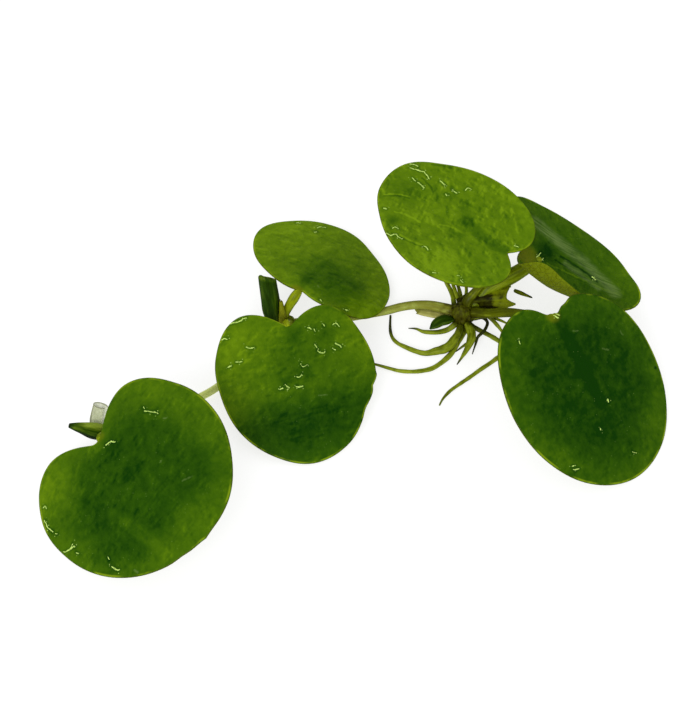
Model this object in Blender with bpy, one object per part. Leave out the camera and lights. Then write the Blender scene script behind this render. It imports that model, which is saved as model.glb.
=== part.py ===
"""Amazon frogbit: a mother plant and the two plantlets on its runners, lying on a flat surface.

The origin is the foot of the mother crown, +Z is up, and the runners lead away towards -X.
Lengths and places below are in millimetres. MM turns them into Blender's metres.
Angles are in degrees, and a compass angle is measured from +X towards +Y.
"""

from math import cos, exp, pi, radians, sin

import bmesh
import bpy
from mathutils import Matrix, Vector

MM = 0.001

# Leaf blades. A blade starts at its notch, where the stalk joins it, and runs along its midrib.
# base: the notch, on the upper face. lean, toward: how far the upper face leans, and to which compass side.
# heading: compass direction of the midrib. length, half_width: along the midrib, and to one side of it.
# arch: how far the midrib bends down from notch to tip. curl: how far the left and right halves bend up.
# centre: distance along the midrib from notch to the point that reach is measured from.
# middle: thickness at that point.
# reach: from that point to the margin, every 30 degrees, counter-clockwise from the tip.
# notch: depth of the notch and half its angular width. notch_at: its direction, measured as reach is.
LEAVES = {
    "mother_top": dict(
        base=(6.0, 3.0, 12.0), lean=12, toward=10, heading=152, length=20.6, half_width=10.7,
        arch=5, curl=(8, 8), centre=9.3, middle=1.3, notch=(4.5, 16.5), notch_at=180,
        reach=(11.0, 9.8, 9.9, 10.9, 11.8, 12.7, 13.8, 12.8, 11.3, 10.3, 10.3, 11.6),
    ),
    "mother_back": dict(
        base=(10.5, 5.3, 8.0), lean=24, toward=347, heading=338, length=15.7, half_width=12.0,
        arch=-30, curl=(-19, 116), centre=4.1, middle=1.0, notch=(3.3, 15.0), notch_at=180,
        reach=(11.5, 9.6, 9.3, 9.9, 11.4, 12.9, 8.6, 8.0, 11.0, 9.2, 8.6, 9.5),
    ),
    "mother_front": dict(
        base=(11.8, -8.7, 12.2), lean=27, toward=328, heading=307, length=23.9, half_width=12.5,
        arch=8, curl=(-8, -8), centre=10.3, middle=1.4, notch=(8.8, 18.3), notch_at=178,
        reach=(13.6, 13.1, 12.4, 12.5, 13.7, 15.2, 18.8, 15.7, 13.3, 12.5, 12.6, 13.2),
    ),
    "second_front": dict(
        base=(-24.6, -5.5, 6.7), lean=12, toward=285, heading=282, length=20.2, half_width=11.0,
        arch=12, curl=(-8, -8), centre=8.7, middle=1.3, notch=(2.4, 17.9), notch_at=177,
        reach=(11.3, 10.8, 10.0, 11.0, 11.8, 13.0, 10.9, 13.1, 12.0, 10.7, 10.5, 10.7),
    ),
    "second_back": dict(
        base=(-22.7, 0.5, 6.4), lean=16.5, toward=30, heading=59, length=17.0, half_width=10.9,
        arch=8, curl=(-8, -8), centre=8.1, middle=1.1, notch=(1.0, 15.0), notch_at=182,
        reach=(8.6, 8.9, 9.6, 11.0, 10.6, 9.3, 8.8, 9.1, 11.0, 10.3, 9.0, 8.1),
    ),
    "third": dict(
        base=(-49.4, -23.9, 6.3), lean=25, toward=195, heading=310, length=22.7, half_width=14.0,
        arch=8, curl=(-10, -10), centre=9.4, middle=1.4, notch=(1.6, 17.7), notch_at=187,
        reach=(13.3, 13.7, 13.4, 13.9, 14.8, 15.4, 10.6, 15.1, 15.1, 13.8, 13.2, 13.1),
    ),
}
RIM_THICKNESS = 0.4
NOTCH_POWER = 1.3
SPOKES = 40
CROWDING = 0.5  # draws the spokes together towards the notch
RINGS = (0.32, 0.62, 0.86, 1.0)  # share of the way from the centre to the margin

# Crowns, the short stems that leaves, runners and roots grow from: centre and half sizes.
CROWNS = {
    "mother": dict(centre=(0.0, 0.0, 1.7), half=(1.7, 1.5, 2.1)),
    "second": dict(centre=(-24.6, -1.1, 1.1), half=(1.1, 1.0, 1.4)),
    "third": dict(centre=(-47.9, -19.3, 0.9), half=(1.0, 0.9, 1.2)),
}
CROWN_SEGMENTS = 14
CROWN_RINGS = 9

# Stalks, runners and roots are tubes: the radius at the start and the end,
# and the points that the centre line passes, from the crown outwards.
STALKS = {
    "mother_top": dict(
        radii=(0.6, 0.62),
        route=((0.6, 0.7, 4.0), (1.9, 1.6, 5.2), (3.6, 2.5, 7.8), (5.0, 3.0, 10.4)),
    ),
    "mother_back": dict(
        radii=(0.75, 0.85),
        route=((1.9, 1.3, 2.9), (3.2, 2.6, 4.0), (4.9, 3.4, 4.9), (7.0, 4.0, 5.8), (8.6, 4.6, 6.5),
               (9.6, 4.9, 6.9)),
    ),
    "mother_front": dict(
        radii=(0.68, 0.62),
        route=((2.0, -0.4, 2.7), (3.0, -1.0, 3.3), (4.4, -1.9, 4.6), (6.6, -3.5, 6.9), (9.2, -5.9, 9.6),
               (11.0, -7.7, 11.4)),
    ),
    "second_front": dict(
        radii=(0.55, 0.55),
        route=((-24.5, -2.2, 2.5), (-24.6, -3.3, 4.2), (-24.6, -4.7, 5.9)),
    ),
    "second_back": dict(
        radii=(0.58, 0.55),
        route=((-24.5, -0.7, 2.85), (-24.1, 0.1, 4.1), (-23.3, 0.5, 5.3)),
    ),
    "third": dict(
        radii=(0.6, 0.6),
        route=((-48.0, -20.2, 2.1), (-48.5, -21.6, 3.7), (-49.1, -23.0, 5.5)),
    ),
}
RUNNERS = {
    "mother_to_second": dict(
        radii=(0.62, 0.58),
        route=((-2.1, 0.7, 2.0), (-4.5, 1.4, 1.9), (-6.6, 1.75, 1.5), (-8.7, 1.7, 1.05), (-10.9, 1.25, 0.72),
               (-15.1, 0.4, 0.65), (-19.3, -0.4, 0.7), (-23.1, -0.9, 1.0)),
    ),
    "second_to_third": dict(
        radii=(0.56, 0.52),
        route=((-25.7, -2.2, 1.1), (-29.1, -6.0, 1.0), (-31.7, -9.6, 0.9), (-34.2, -11.9, 0.9),
               (-36.1, -13.3, 0.9), (-40.5, -16.0, 0.9), (-44.3, -18.0, 0.9), (-46.5, -18.9, 1.0)),
    ),
}
ROOTS = {
    "mother_left": dict(
        radii=(0.36, 0.1),
        route=((-1.25, -1.55, 1.1), (-2.2, -1.95, 0.6), (-3.6, -2.2, 0.42), (-5.4, -2.1, 0.4),
               (-6.5, -1.6, 0.4), (-7.6, -1.5, 0.4)),
    ),
    "mother_hook": dict(
        radii=(0.4, 0.16),
        route=((-0.35, -1.95, 1.1), (-0.8, -3.2, 1.6), (-1.7, -4.6, 1.6), (-2.5, -5.3, 1.1),
               (-3.9, -5.6, 0.6), (-5.3, -5.8, 0.4), (-6.7, -5.4, 0.4), (-8.1, -4.7, 0.4),
               (-9.2, -4.0, 0.4), (-9.9, -3.0, 0.4), (-10.15, -1.5, 0.4), (-10.1, 0.0, 0.4)),
    ),
    "mother_long": dict(
        radii=(0.34, 0.16),
        route=((0.45, -1.95, 0.5), (0.3, -2.9, 0.4), (-0.4, -4.0, 0.4), (-1.1, -5.2, 0.4),
               (-2.0, -6.3, 0.4), (-3.3, -7.6, 0.4), (-4.7, -8.5, 0.4), (-6.8, -8.9, 0.4),
               (-8.8, -8.8, 0.4), (-10.2, -8.4, 0.4), (-11.9, -7.8, 0.4), (-13.2, -7.4, 0.4)),
    ),
    "mother_middle": dict(
        radii=(0.36, 0.1),
        route=((0.75, -1.9, 1.5), (1.0, -3.1, 1.7), (0.85, -4.2, 1.7), (0.3, -5.5, 1.5),
               (-0.3, -6.8, 1.2), (-0.95, -8.1, 0.9)),
    ),
    "mother_dark": dict(
        radii=(0.25, 0.08),
        route=((1.95, -0.35, 0.45), (3.0, -0.6, 0.45), (3.55, -1.45, 0.9), (3.0, -2.8, 1.65),
               (2.1, -3.75, 1.5), (1.8, -4.6, 1.2), (1.25, -6.2, 0.7)),
    ),
    "mother_crossing": dict(
        radii=(0.32, 0.1),
        route=((1.5, -1.3, 0.55), (2.7, -2.1, 0.5), (3.8, -2.8, 0.5), (5.1, -3.7, 0.4), (6.2, -4.7, 0.4),
               (6.0, -5.8, 0.4), (4.9, -6.5, 0.4), (3.7, -7.5, 0.4), (2.3, -8.6, 0.4), (0.9, -9.8, 0.4),
               (-0.6, -11.0, 0.4), (-2.0, -12.2, 0.4), (-3.0, -13.5, 0.4), (-3.5, -14.6, 0.4)),
    ),
    "mother_right": dict(
        radii=(0.28, 0.14),
        route=((1.85, -0.95, 1.45), (3.6, -0.9, 1.5), (4.9, -1.6, 1.0), (5.8, -2.6, 0.5)),
    ),
    "mother_right_back": dict(
        radii=(0.25, 0.12),
        route=((2.0, 0.55, 0.75), (4.0, 0.2, 0.7), (5.4, -0.5, 0.9), (6.6, -1.4, 1.1)),
    ),
    "mother_back_left": dict(
        radii=(0.34, 0.12),
        route=((-1.05, 1.7, 1.2), (-1.3, 3.2, 1.8), (-2.0, 5.2, 1.8), (-2.6, 7.2, 1.1), (-2.9, 9.4, 0.4)),
    ),
    "mother_back_high": dict(
        radii=(0.26, 0.1),
        route=((-0.45, 1.85, 2.3), (-1.0, 3.4, 2.8), (-1.3, 4.6, 2.8), (-1.6, 6.3, 2.2), (-1.7, 8.2, 1.2)),
    ),
    "mother_back": dict(
        radii=(0.26, 0.1),
        route=((0.05, 1.95, 1.2), (-0.2, 3.5, 1.8), (-0.5, 4.9, 1.9), (-0.6, 6.8, 1.1), (-0.3, 8.4, 0.4)),
    ),
    "mother_back_right": dict(
        radii=(0.22, 0.1),
        route=((0.35, 1.85, 2.1), (0.6, 3.0, 2.9), (0.6, 3.9, 3.1), (0.7, 5.4, 2.6), (0.9, 7.0, 1.4)),
    ),
    "second_left": dict(
        radii=(0.28, 0.1),
        route=((-26.0, -0.9, 0.7), (-27.2, -1.0, 0.45), (-28.4, -1.7, 0.4), (-29.2, -2.9, 0.4)),
    ),
    "second_right": dict(
        radii=(0.28, 0.1),
        route=((-23.5, -2.1, 0.7), (-22.3, -3.2, 0.4), (-21.6, -4.8, 0.4), (-21.5, -6.6, 0.4)),
    ),
    "third_right": dict(
        radii=(0.26, 0.1),
        route=((-47.1, -20.3, 0.6), (-46.2, -21.3, 0.4), (-45.9, -22.8, 0.4), (-46.2, -24.4, 0.4)),
    ),
    "third_back": dict(
        radii=(0.26, 0.1),
        route=((-48.0, -18.0, 0.7), (-47.6, -17.0, 0.4), (-46.6, -16.2, 0.4), (-45.2, -15.9, 0.4)),
    ),
}
STALK_STEPS = 8
STALK_SIDES = 8
RUNNER_STEPS = 16
RUNNER_SIDES = 8
ROOT_STEP = 1.1
ROOT_STEPS_LEAST = 6
ROOT_SIDES = 6

# Young leaves still rolled or folded, and scale leaves: the centre line, radii evenly spaced along it,
# the number of steps, and flat, the height of the section as a share of its width.
YOUNG = {
    "rolled_leaf_second": dict(
        kind="young", flat=0.8, steps=9,
        route=((-26.1, -0.7, 2.1), (-26.6, -0.3, 3.7), (-26.8, 0.0, 5.6), (-27.1, 0.1, 7.7),
               (-27.4, 0.2, 9.7)),
        radii=(0.45, 1.1, 1.25, 1.27, 1.25, 1.2, 0.95),
    ),
    "rolled_leaf_third": dict(
        kind="young", flat=0.85, steps=8,
        route=((-49.4, -20.2, 1.9), (-50.5, -20.6, 2.75), (-52.0, -20.85, 3.9), (-53.6, -21.0, 4.9)),
        radii=(0.6, 1.15, 1.2, 0.95, 0.62, 0.12),
    ),
    "bud_leaf": dict(
        kind="young", flat=0.55, steps=7,
        route=((-1.9, -1.2, 2.0), (-3.1, -1.4, 1.9), (-4.5, -2.5, 1.7)),
        radii=(0.3, 0.82, 0.86, 0.55, 0.12),
    ),
    "bract": dict(
        kind="bract", flat=0.6, steps=7,
        route=((-1.9, 0.3, 0.75), (-3.2, 0.7, 0.6), (-4.9, 0.95, 0.55), (-6.6, 1.2, 0.5)),
        radii=(0.3, 0.5, 0.5, 0.42, 0.2),
    ),
    "sheath_shred": dict(
        kind="sheath", flat=0.6, steps=5,
        route=((7.4, 1.9, 4.6), (8.4, 1.3, 4.7), (9.6, 0.6, 4.9)),
        radii=(0.2, 0.26, 0.12, 0.05),
    ),
}
YOUNG_SIDES = 10

# Sheaths, open on one side: an arc of a given radius at the start and the end, around a centre line.
# across: where the arc's angle 0 points. arc: from which angle to which.
# ends: how far each strip of the arc, in turn, reaches along the centre line.
SHEATHS = {
    "mother": dict(
        route=((2.9, 0.5, 1.9), (4.0, 1.2, 2.6), (5.5, 1.75, 3.2), (7.3, 2.1, 3.75)), radius=(0.8, 1.65),
        wall=0.3, across=(0, 1, 0), arc=(-165, 15), steps=5,
        ends=(0.72, 0.8, 0.95, 0.84, 1.0, 0.9, 0.97),
    ),
    "second": dict(
        route=((-25.5, -2.0, 2.6), (-25.4, -1.7, 4.2), (-25.2, -1.3, 5.9)), radius=(0.5, 0.42),
        wall=0.3, across=(1, 0, 0), arc=(100, 215), steps=4,
        ends=(0.8, 1.0, 0.9),
    ),
    "third": dict(
        route=((-49.8, -18.3, 2.2), (-50.3, -18.0, 3.7), (-50.1, -17.6, 5.6)), radius=(0.8, 0.85),
        wall=0.3, across=(1, 0, 0), arc=(10, 250), steps=5,
        ends=(0.8, 0.9, 0.97, 1.0, 0.97, 0.9, 0.85),
    ),
}

COLOURS = {
    "leaf": (0.055, 0.16, 0.008),
    "stalk": (0.16, 0.22, 0.02),
    "runner": (0.35, 0.42, 0.12),
    "root": (0.14, 0.18, 0.025),
    "crown": (0.045, 0.035, 0.004),
    "sheath": (0.14, 0.14, 0.02),
    "young": (0.02, 0.06, 0.008),
    "bract": (0.3, 0.22, 0.12),
}
ROUGHNESS = {
    "leaf": 0.28,
    "stalk": 0.35,
    "runner": 0.35,
    "root": 0.45,
    "crown": 0.5,
    "sheath": 0.4,
    "young": 0.3,
    "bract": 0.45,
}
SHARP_FROM = 50  # edges that turn further than this stay sharp


def material(kind):
    """The Principled material that all the pieces of one kind share."""
    found = bpy.data.materials.get(kind)
    if found:
        return found
    made = bpy.data.materials.new(kind)
    made.use_nodes = True
    shader = made.node_tree.nodes["Principled BSDF"]
    shader.inputs["Base Color"].default_value = (*COLOURS[kind], 1.0)
    shader.inputs["Roughness"].default_value = ROUGHNESS[kind]
    return made


def add_object(name, bm, kind, parent):
    """Turns a closed bmesh into a smooth-shaded object with its faces outwards."""
    bmesh.ops.recalc_face_normals(bm, faces=bm.faces)
    if bm.calc_volume(signed=True) < 0:
        bmesh.ops.reverse_faces(bm, faces=bm.faces)
    mesh = bpy.data.meshes.new(name)
    bm.to_mesh(mesh)
    bm.free()
    mesh.materials.append(material(kind))
    mesh.shade_smooth()
    mesh.set_sharp_from_angle(angle=radians(SHARP_FROM))
    piece = bpy.data.objects.new(name, mesh)
    bpy.context.scene.collection.objects.link(piece)
    piece.parent = parent
    return piece


def smooth_value(p0, p1, p2, p3, f):
    """A Catmull-Rom curve through four values or points, f of the way from the second to the third."""
    bent = (p0 * 2 - p1 * 5 + p2 * 4 - p3) * f**2 + (p1 * 3 - p0 - p2 * 3 + p3) * f**3
    return (p1 * 2 + (p2 - p0) * f + bent) * 0.5


def through(points, t):
    """A point on the smooth curve through the given values or points, t from 0 to 1."""
    spans = len(points) - 1
    at = min(int(t * spans), spans - 1)
    p1, p2 = points[at], points[at + 1]
    p0 = points[at - 1] if at > 0 else p1 * 2 - p2
    p3 = points[at + 2] if at + 2 <= spans else p2 * 2 - p1
    return smooth_value(p0, p1, p2, p3, t * spans - at)


def even_points(route, count):
    """count + 1 points at even distances along the smooth curve through the route."""
    fine = 12 * len(route)
    points = [through([Vector(p) for p in route], i / fine) for i in range(fine + 1)]
    travelled = [0.0]
    for a, b in zip(points, points[1:]):
        travelled.append(travelled[-1] + (b - a).length)
    evened = []
    at = 0
    for i in range(count + 1):
        want = travelled[-1] * i / count
        while at < fine - 1 and travelled[at + 1] < want:
            at += 1
        share = (want - travelled[at]) / (travelled[at + 1] - travelled[at])
        evened.append(points[at].lerp(points[at + 1], min(share, 1.0)))
    return evened


def directions(points):
    """The direction of travel at each point of a line."""
    ends = [points[0]] + points + [points[-1]]
    return [(ends[i + 2] - ends[i]).normalized() for i in range(len(points))]


def bend(distance, turn):
    """Along and up, after a distance on an arc that turns by turn radians per millimetre."""
    return sin(turn * distance) / turn, (1 - cos(turn * distance)) / turn


def margin(leaf, theta):
    """Distance from the blade's centre to its margin, theta counter-clockwise from the tip."""
    reach = leaf["reach"]
    at = theta / (2 * pi) * len(reach)
    first = int(at // 1)
    around = [reach[(first + k) % len(reach)] for k in (-1, 0, 1, 2)]
    depth, width = leaf["notch"]
    away = abs((theta - radians(leaf["notch_at"]) + pi) % (2 * pi) - pi)
    return smooth_value(*around, at - first) - depth * exp(-((away / radians(width)) ** NOTCH_POWER))


def blade_axes(leaf):
    """Along the midrib, to the left of it, and out of the upper face."""
    lean, toward, heading = (radians(leaf[k]) for k in ("lean", "toward", "heading"))
    up = Vector((sin(lean) * cos(toward), sin(lean) * sin(toward), cos(lean)))
    left = up.cross(Vector((cos(heading), sin(heading), 0.0))).normalized()
    return left.cross(up), left, up


def blade_point(leaf, share, theta, below):
    """A point share of the way to the margin, and below the upper face by a share of the thickness."""
    along, left, up = blade_axes(leaf)
    reach = share * margin(leaf, theta)
    x = leaf["centre"] + reach * cos(theta)
    y = reach * sin(theta)
    side, curl = (left, leaf["curl"][0]) if y > 0 else (-left, leaf["curl"][1])
    arch_turn = radians(leaf["arch"]) / leaf["length"]
    curl_turn = radians(curl) / leaf["half_width"]
    forward, rise = bend(x, -arch_turn)
    across, lift = bend(abs(y), curl_turn)
    outward = sin(arch_turn * x) * along + cos(arch_turn * x) * up
    point = Vector(leaf["base"]) + forward * along + rise * up + across * side + lift * outward
    normal = cos(curl_turn * abs(y)) * outward - sin(curl_turn * abs(y)) * side
    thickness = RIM_THICKNESS + (leaf["middle"] - RIM_THICKNESS) * (1 - share**2) ** 2
    return point - normal * (thickness * below)


def add_blade(name, leaf, parent):
    """A thin closed blade: a disc of rings and spokes with a second face, laid on the leaf's surface."""
    bm = bmesh.new()
    bmesh.ops.create_circle(bm, cap_ends=True, cap_tris=True, segments=SPOKES, radius=RINGS[0])
    for previous, ring in zip(RINGS, RINGS[1:]):
        rim = [edge for edge in bm.edges if edge.is_boundary]
        grown = bmesh.ops.extrude_edge_only(bm, edges=rim)["geom"]
        verts = [part for part in grown if isinstance(part, bmesh.types.BMVert)]
        bmesh.ops.scale(bm, vec=Vector((ring / previous, ring / previous, 1.0)), verts=verts)
    lower = bmesh.ops.extrude_face_region(bm, geom=bm.faces[:])["geom"]
    lower = [part for part in lower if isinstance(part, bmesh.types.BMVert)]
    bmesh.ops.translate(bm, vec=Vector((0, 0, -1)), verts=lower)
    for vert in bm.verts:
        share = vert.co.xy.length
        theta = -Vector((1, 0)).angle_signed(vert.co.xy, 0.0) if share > 1e-6 else 0.0
        theta += CROWDING * sin(theta)
        vert.co = blade_point(leaf, share, theta, -vert.co.z) * MM
    return add_object(name, bm, "leaf", parent)


def add_tube(name, route, radii, steps, sides, kind, parent, flat=1.0):
    """A closed tube along a smooth route, with evenly spaced radii. flat squeezes it from above."""
    points = even_points(route, steps)
    bm = bmesh.new()
    rings = []
    for i, (point, ahead) in enumerate(zip(points, directions(points))):
        level = ahead.cross(Vector((0, 0, 1)))
        nearly_upright = level.length < 0.3
        aside = (Vector((1, 0, 0)) - ahead * ahead.x if nearly_upright else level).normalized()
        over = aside.cross(ahead)
        radius = through(list(radii), i / steps)
        ring = []
        for k in range(sides):
            turn = 2 * pi * k / sides
            outwards = cos(turn) * aside + flat * sin(turn) * over
            ring.append(bm.verts.new((point + radius * outwards) * MM))
        rings.append([bm.edges.new((ring[k], ring[(k + 1) % sides])) for k in range(sides)])
    for near, far in zip(rings, rings[1:]):
        bmesh.ops.bridge_loops(bm, edges=near + far)
    bmesh.ops.edgeloop_fill(bm, edges=rings[0])
    bmesh.ops.edgeloop_fill(bm, edges=rings[-1])
    return add_object(name, bm, kind, parent)


def add_crown(name, crown, parent):
    """A rounded knot, cut off flat where it rests."""
    bm = bmesh.new()
    bmesh.ops.create_uvsphere(bm, u_segments=CROWN_SEGMENTS, v_segments=CROWN_RINGS, radius=1.0)
    stretch = Matrix.Diagonal(Vector(crown["half"]) * MM).to_4x4()
    place = Matrix.Translation(Vector(crown["centre"]) * MM) @ stretch
    bmesh.ops.transform(bm, matrix=place, verts=bm.verts)
    everything = bm.verts[:] + bm.edges[:] + bm.faces[:]
    below = dict(plane_co=(0, 0, 0), plane_no=(0, 0, -1), clear_outer=True)
    cut = bmesh.ops.bisect_plane(bm, geom=everything, **below)["geom_cut"]
    bmesh.ops.edgeloop_fill(bm, edges=[part for part in cut if isinstance(part, bmesh.types.BMEdge)])
    return add_object(name, bm, "crown", parent)


def add_sheath(name, sheath, parent):
    """A thin leaf base, curled round a centre line and open on one side, with a ragged end."""
    points = even_points(sheath["route"], sheath["steps"])
    ends = sheath["ends"]
    first, last = (radians(angle) for angle in sheath["arc"])
    near_radius, far_radius = sheath["radius"]
    bm = bmesh.new()
    strips = []
    for k, end in enumerate(ends):
        angle = first + (last - first) * k / (len(ends) - 1)
        strip = []
        for i in range(sheath["steps"] + 1):
            share = i / sheath["steps"] * end
            before, after = max(share - 0.02, 0.0), min(share + 0.02, 1.0)
            ahead = (through(points, after) - through(points, before)).normalized()
            aside = Vector(sheath["across"])
            aside = (aside - ahead * aside.dot(ahead)).normalized()
            over = aside.cross(ahead)
            if over.y + over.z < 0:
                over = -over
            radius = near_radius + (far_radius - near_radius) * share
            outwards = cos(angle) * aside + sin(angle) * over
            strip.append(bm.verts.new((through(points, share) + radius * outwards) * MM))
        strips.append([bm.edges.new(pair) for pair in zip(strip, strip[1:])])
    for near, far in zip(strips, strips[1:]):
        bmesh.ops.bridge_loops(bm, edges=near + far)
    bmesh.ops.recalc_face_normals(bm, faces=bm.faces)
    bmesh.ops.solidify(bm, geom=bm.faces[:], thickness=sheath["wall"] * MM)
    return add_object(name, bm, "sheath", parent)


def route_length(route):
    """The length of the smooth curve through a route."""
    points = even_points(route, 4 * len(route))
    return sum((b - a).length for a, b in zip(points, points[1:]))


def main():
    for old in list(bpy.data.objects):
        bpy.data.objects.remove(old)
    plant = bpy.data.objects.new("plant", None)
    bpy.context.scene.collection.objects.link(plant)

    for name, crown in CROWNS.items():
        add_crown(f"crown_{name}", crown, plant)
    for name, leaf in LEAVES.items():
        add_blade(f"leaf_{name}", leaf, plant)
    for name, stalk in STALKS.items():
        add_tube(f"stalk_{name}", **stalk, steps=STALK_STEPS, sides=STALK_SIDES, kind="stalk", parent=plant)
    for name, runner in RUNNERS.items():
        add_tube(f"runner_{name}", **runner, steps=RUNNER_STEPS, sides=RUNNER_SIDES, kind="runner", parent=plant)
    for name, root in ROOTS.items():
        steps = max(ROOT_STEPS_LEAST, round(route_length(root["route"]) / ROOT_STEP))
        add_tube(f"root_{name}", **root, steps=steps, sides=ROOT_SIDES, kind="root", parent=plant)
    for name, leaf in YOUNG.items():
        add_tube(name, **leaf, sides=YOUNG_SIDES, parent=plant)
    for name, sheath in SHEATHS.items():
        add_sheath(f"sheath_{name}", sheath, plant)


main()
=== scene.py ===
"""Dresses the frogbit: leaf blades, stalks, runners, roots, sheaths and their finishes, and the stage."""

from math import atan2, cos, exp, pi, radians, sin, sqrt

import bmesh
import bpy
from bpy.props import FloatProperty, FloatVectorProperty, PointerProperty
from mathutils import Matrix, Vector, noise


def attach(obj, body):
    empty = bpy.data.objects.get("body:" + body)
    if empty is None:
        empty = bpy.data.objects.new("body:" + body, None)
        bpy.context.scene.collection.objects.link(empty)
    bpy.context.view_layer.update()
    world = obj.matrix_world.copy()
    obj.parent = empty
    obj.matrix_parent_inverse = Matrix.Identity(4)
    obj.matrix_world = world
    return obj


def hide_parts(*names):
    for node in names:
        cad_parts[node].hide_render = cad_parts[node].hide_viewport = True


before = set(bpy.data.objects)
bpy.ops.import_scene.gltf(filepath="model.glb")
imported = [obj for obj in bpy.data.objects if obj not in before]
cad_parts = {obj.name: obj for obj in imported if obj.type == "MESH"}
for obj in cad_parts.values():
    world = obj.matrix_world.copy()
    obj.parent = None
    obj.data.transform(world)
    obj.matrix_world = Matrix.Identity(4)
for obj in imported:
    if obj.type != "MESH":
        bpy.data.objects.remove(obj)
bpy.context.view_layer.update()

bl_info = {
    "name": "Amazon frogbit",
    "version": (1, 0, 0),
    "blender": (4, 5, 0),
    "location": "View3D > Sidebar > Frogbit",
    "description": "Makes the pieces of a floating water plant, their finishes and a stage",
    "category": "Object",
}

BODY = "root"
MM = 0.001

# Leaf blades, in millimetres and degrees, with the same outline and pose as their solids.
# base: the notch, on the upper face. lean, toward: how far the upper face leans, and to which compass side.
# heading: compass direction of the midrib. arch: bend along it. curl: bend of the left and of the right half.
# reach: from the centre to the margin, every 30 degrees, counter-clockwise from the tip.
# notch: depth and half angular width, at the angle notch_at. nicks: angle, half width and depth of each.
LEAVES = {
    "mother_top": dict(
        base=(6, 3, 12), lean=12, toward=10, heading=152, length=20.6, half_width=10.7, arch=5,
        curl=(8, 8), centre=9.3, middle=1.3, notch=(4.5, 16.5), notch_at=180,
        reach=(11, 9.8, 9.9, 10.9, 11.8, 12.7, 13.8, 12.8, 11.3, 10.3, 10.3, 11.6), nicks=(),
    ),
    "mother_back": dict(
        base=(10.5, 5.3, 8), lean=24, toward=347, heading=338, length=15.7, half_width=12, arch=-30,
        curl=(-19, 116), centre=4.1, middle=1, notch=(1.9, 15), notch_at=180,
        reach=(11.5, 9.6, 9.3, 9.9, 11.4, 12.9, 8.6, 8, 11, 9.2, 8.6, 9.5), nicks=(),
    ),
    "mother_front": dict(
        base=(11.8, -8.7, 12.2), lean=27, toward=328, heading=307, length=23.9, half_width=12.5, arch=8,
        curl=(-8, -8), centre=10.3, middle=1.4, notch=(8.8, 18.3), notch_at=178,
        reach=(13.6, 13.1, 12.4, 12.5, 13.7, 15.2, 18.8, 15.7, 13.3, 12.5, 12.6, 13.2),
        nicks=((178, 3.5, -1.3), (165, 3.5, 0.35)),
    ),
    "second_front": dict(
        base=(-24.6, -5.5, 6.7), lean=12, toward=285, heading=282, length=20.2, half_width=11, arch=12,
        curl=(-8, -8), centre=8.7, middle=1.3, notch=(2.4, 17.9), notch_at=177,
        reach=(11.3, 10.8, 10, 11, 11.8, 13, 10.9, 13.1, 12, 10.7, 10.5, 10.7),
        nicks=((88, 2.2, -0.15), (80, 3, 0.25), (60, 6, 0.15)),
    ),
    "second_back": dict(
        base=(-22.7, 0.5, 6.4), lean=16.5, toward=30, heading=59, length=17, half_width=10.9, arch=8,
        curl=(-8, -8), centre=8.1, middle=1.1, notch=(1, 15), notch_at=182,
        reach=(8.6, 8.9, 9.6, 11, 10.6, 9.3, 8.8, 9.1, 11, 10.3, 9, 8.1), nicks=(),
    ),
    "third": dict(
        base=(-49.4, -23.9, 6.3), lean=25, toward=195, heading=310, length=22.7, half_width=14, arch=8,
        curl=(-10, -10), centre=9.4, middle=1.4, notch=(1.6, 17.7), notch_at=187,
        reach=(13.3, 13.7, 13.4, 13.9, 14.8, 15.4, 10.6, 15.1, 15.1, 13.8, 13.2, 13.1),
        nicks=((7, 3, -0.2), (350, 5, 0.15)),
    ),
}
NOTCH_POWER = 1.3
SPOKES = 160
CROWDING = 0.5  # draws the spokes together towards the notch
RINGS = 18
ROUNDED_FROM = 0.982  # share of the way to the margin where the rim starts to round off
RIM_RINGS = 5
ROUNDING = 0.95  # 1 would bring the two faces together in a full round rim
WAVE_LENGTH = 3.5  # distance between the low waves of a blade
VEIN_ANGLES = (2.72, 2.3, 1.9, 1.5)  # radians between the lines from a vein to the notch and to the tip
MIDRIB_LINE = (0.32, 0.05)  # distances from the middle of the line where it begins and where it is full
VEIN_LINE = (0.24, 0.04)
VEIN_STRENGTH = 0.8
TONE_STOPS = (0.0, 0.28, 0.58, 0.8, 1.0)  # tones at which the five greens stand, from deep to pale
FAR_AWAY = 99.0  # millimetres, past every glint

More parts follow.
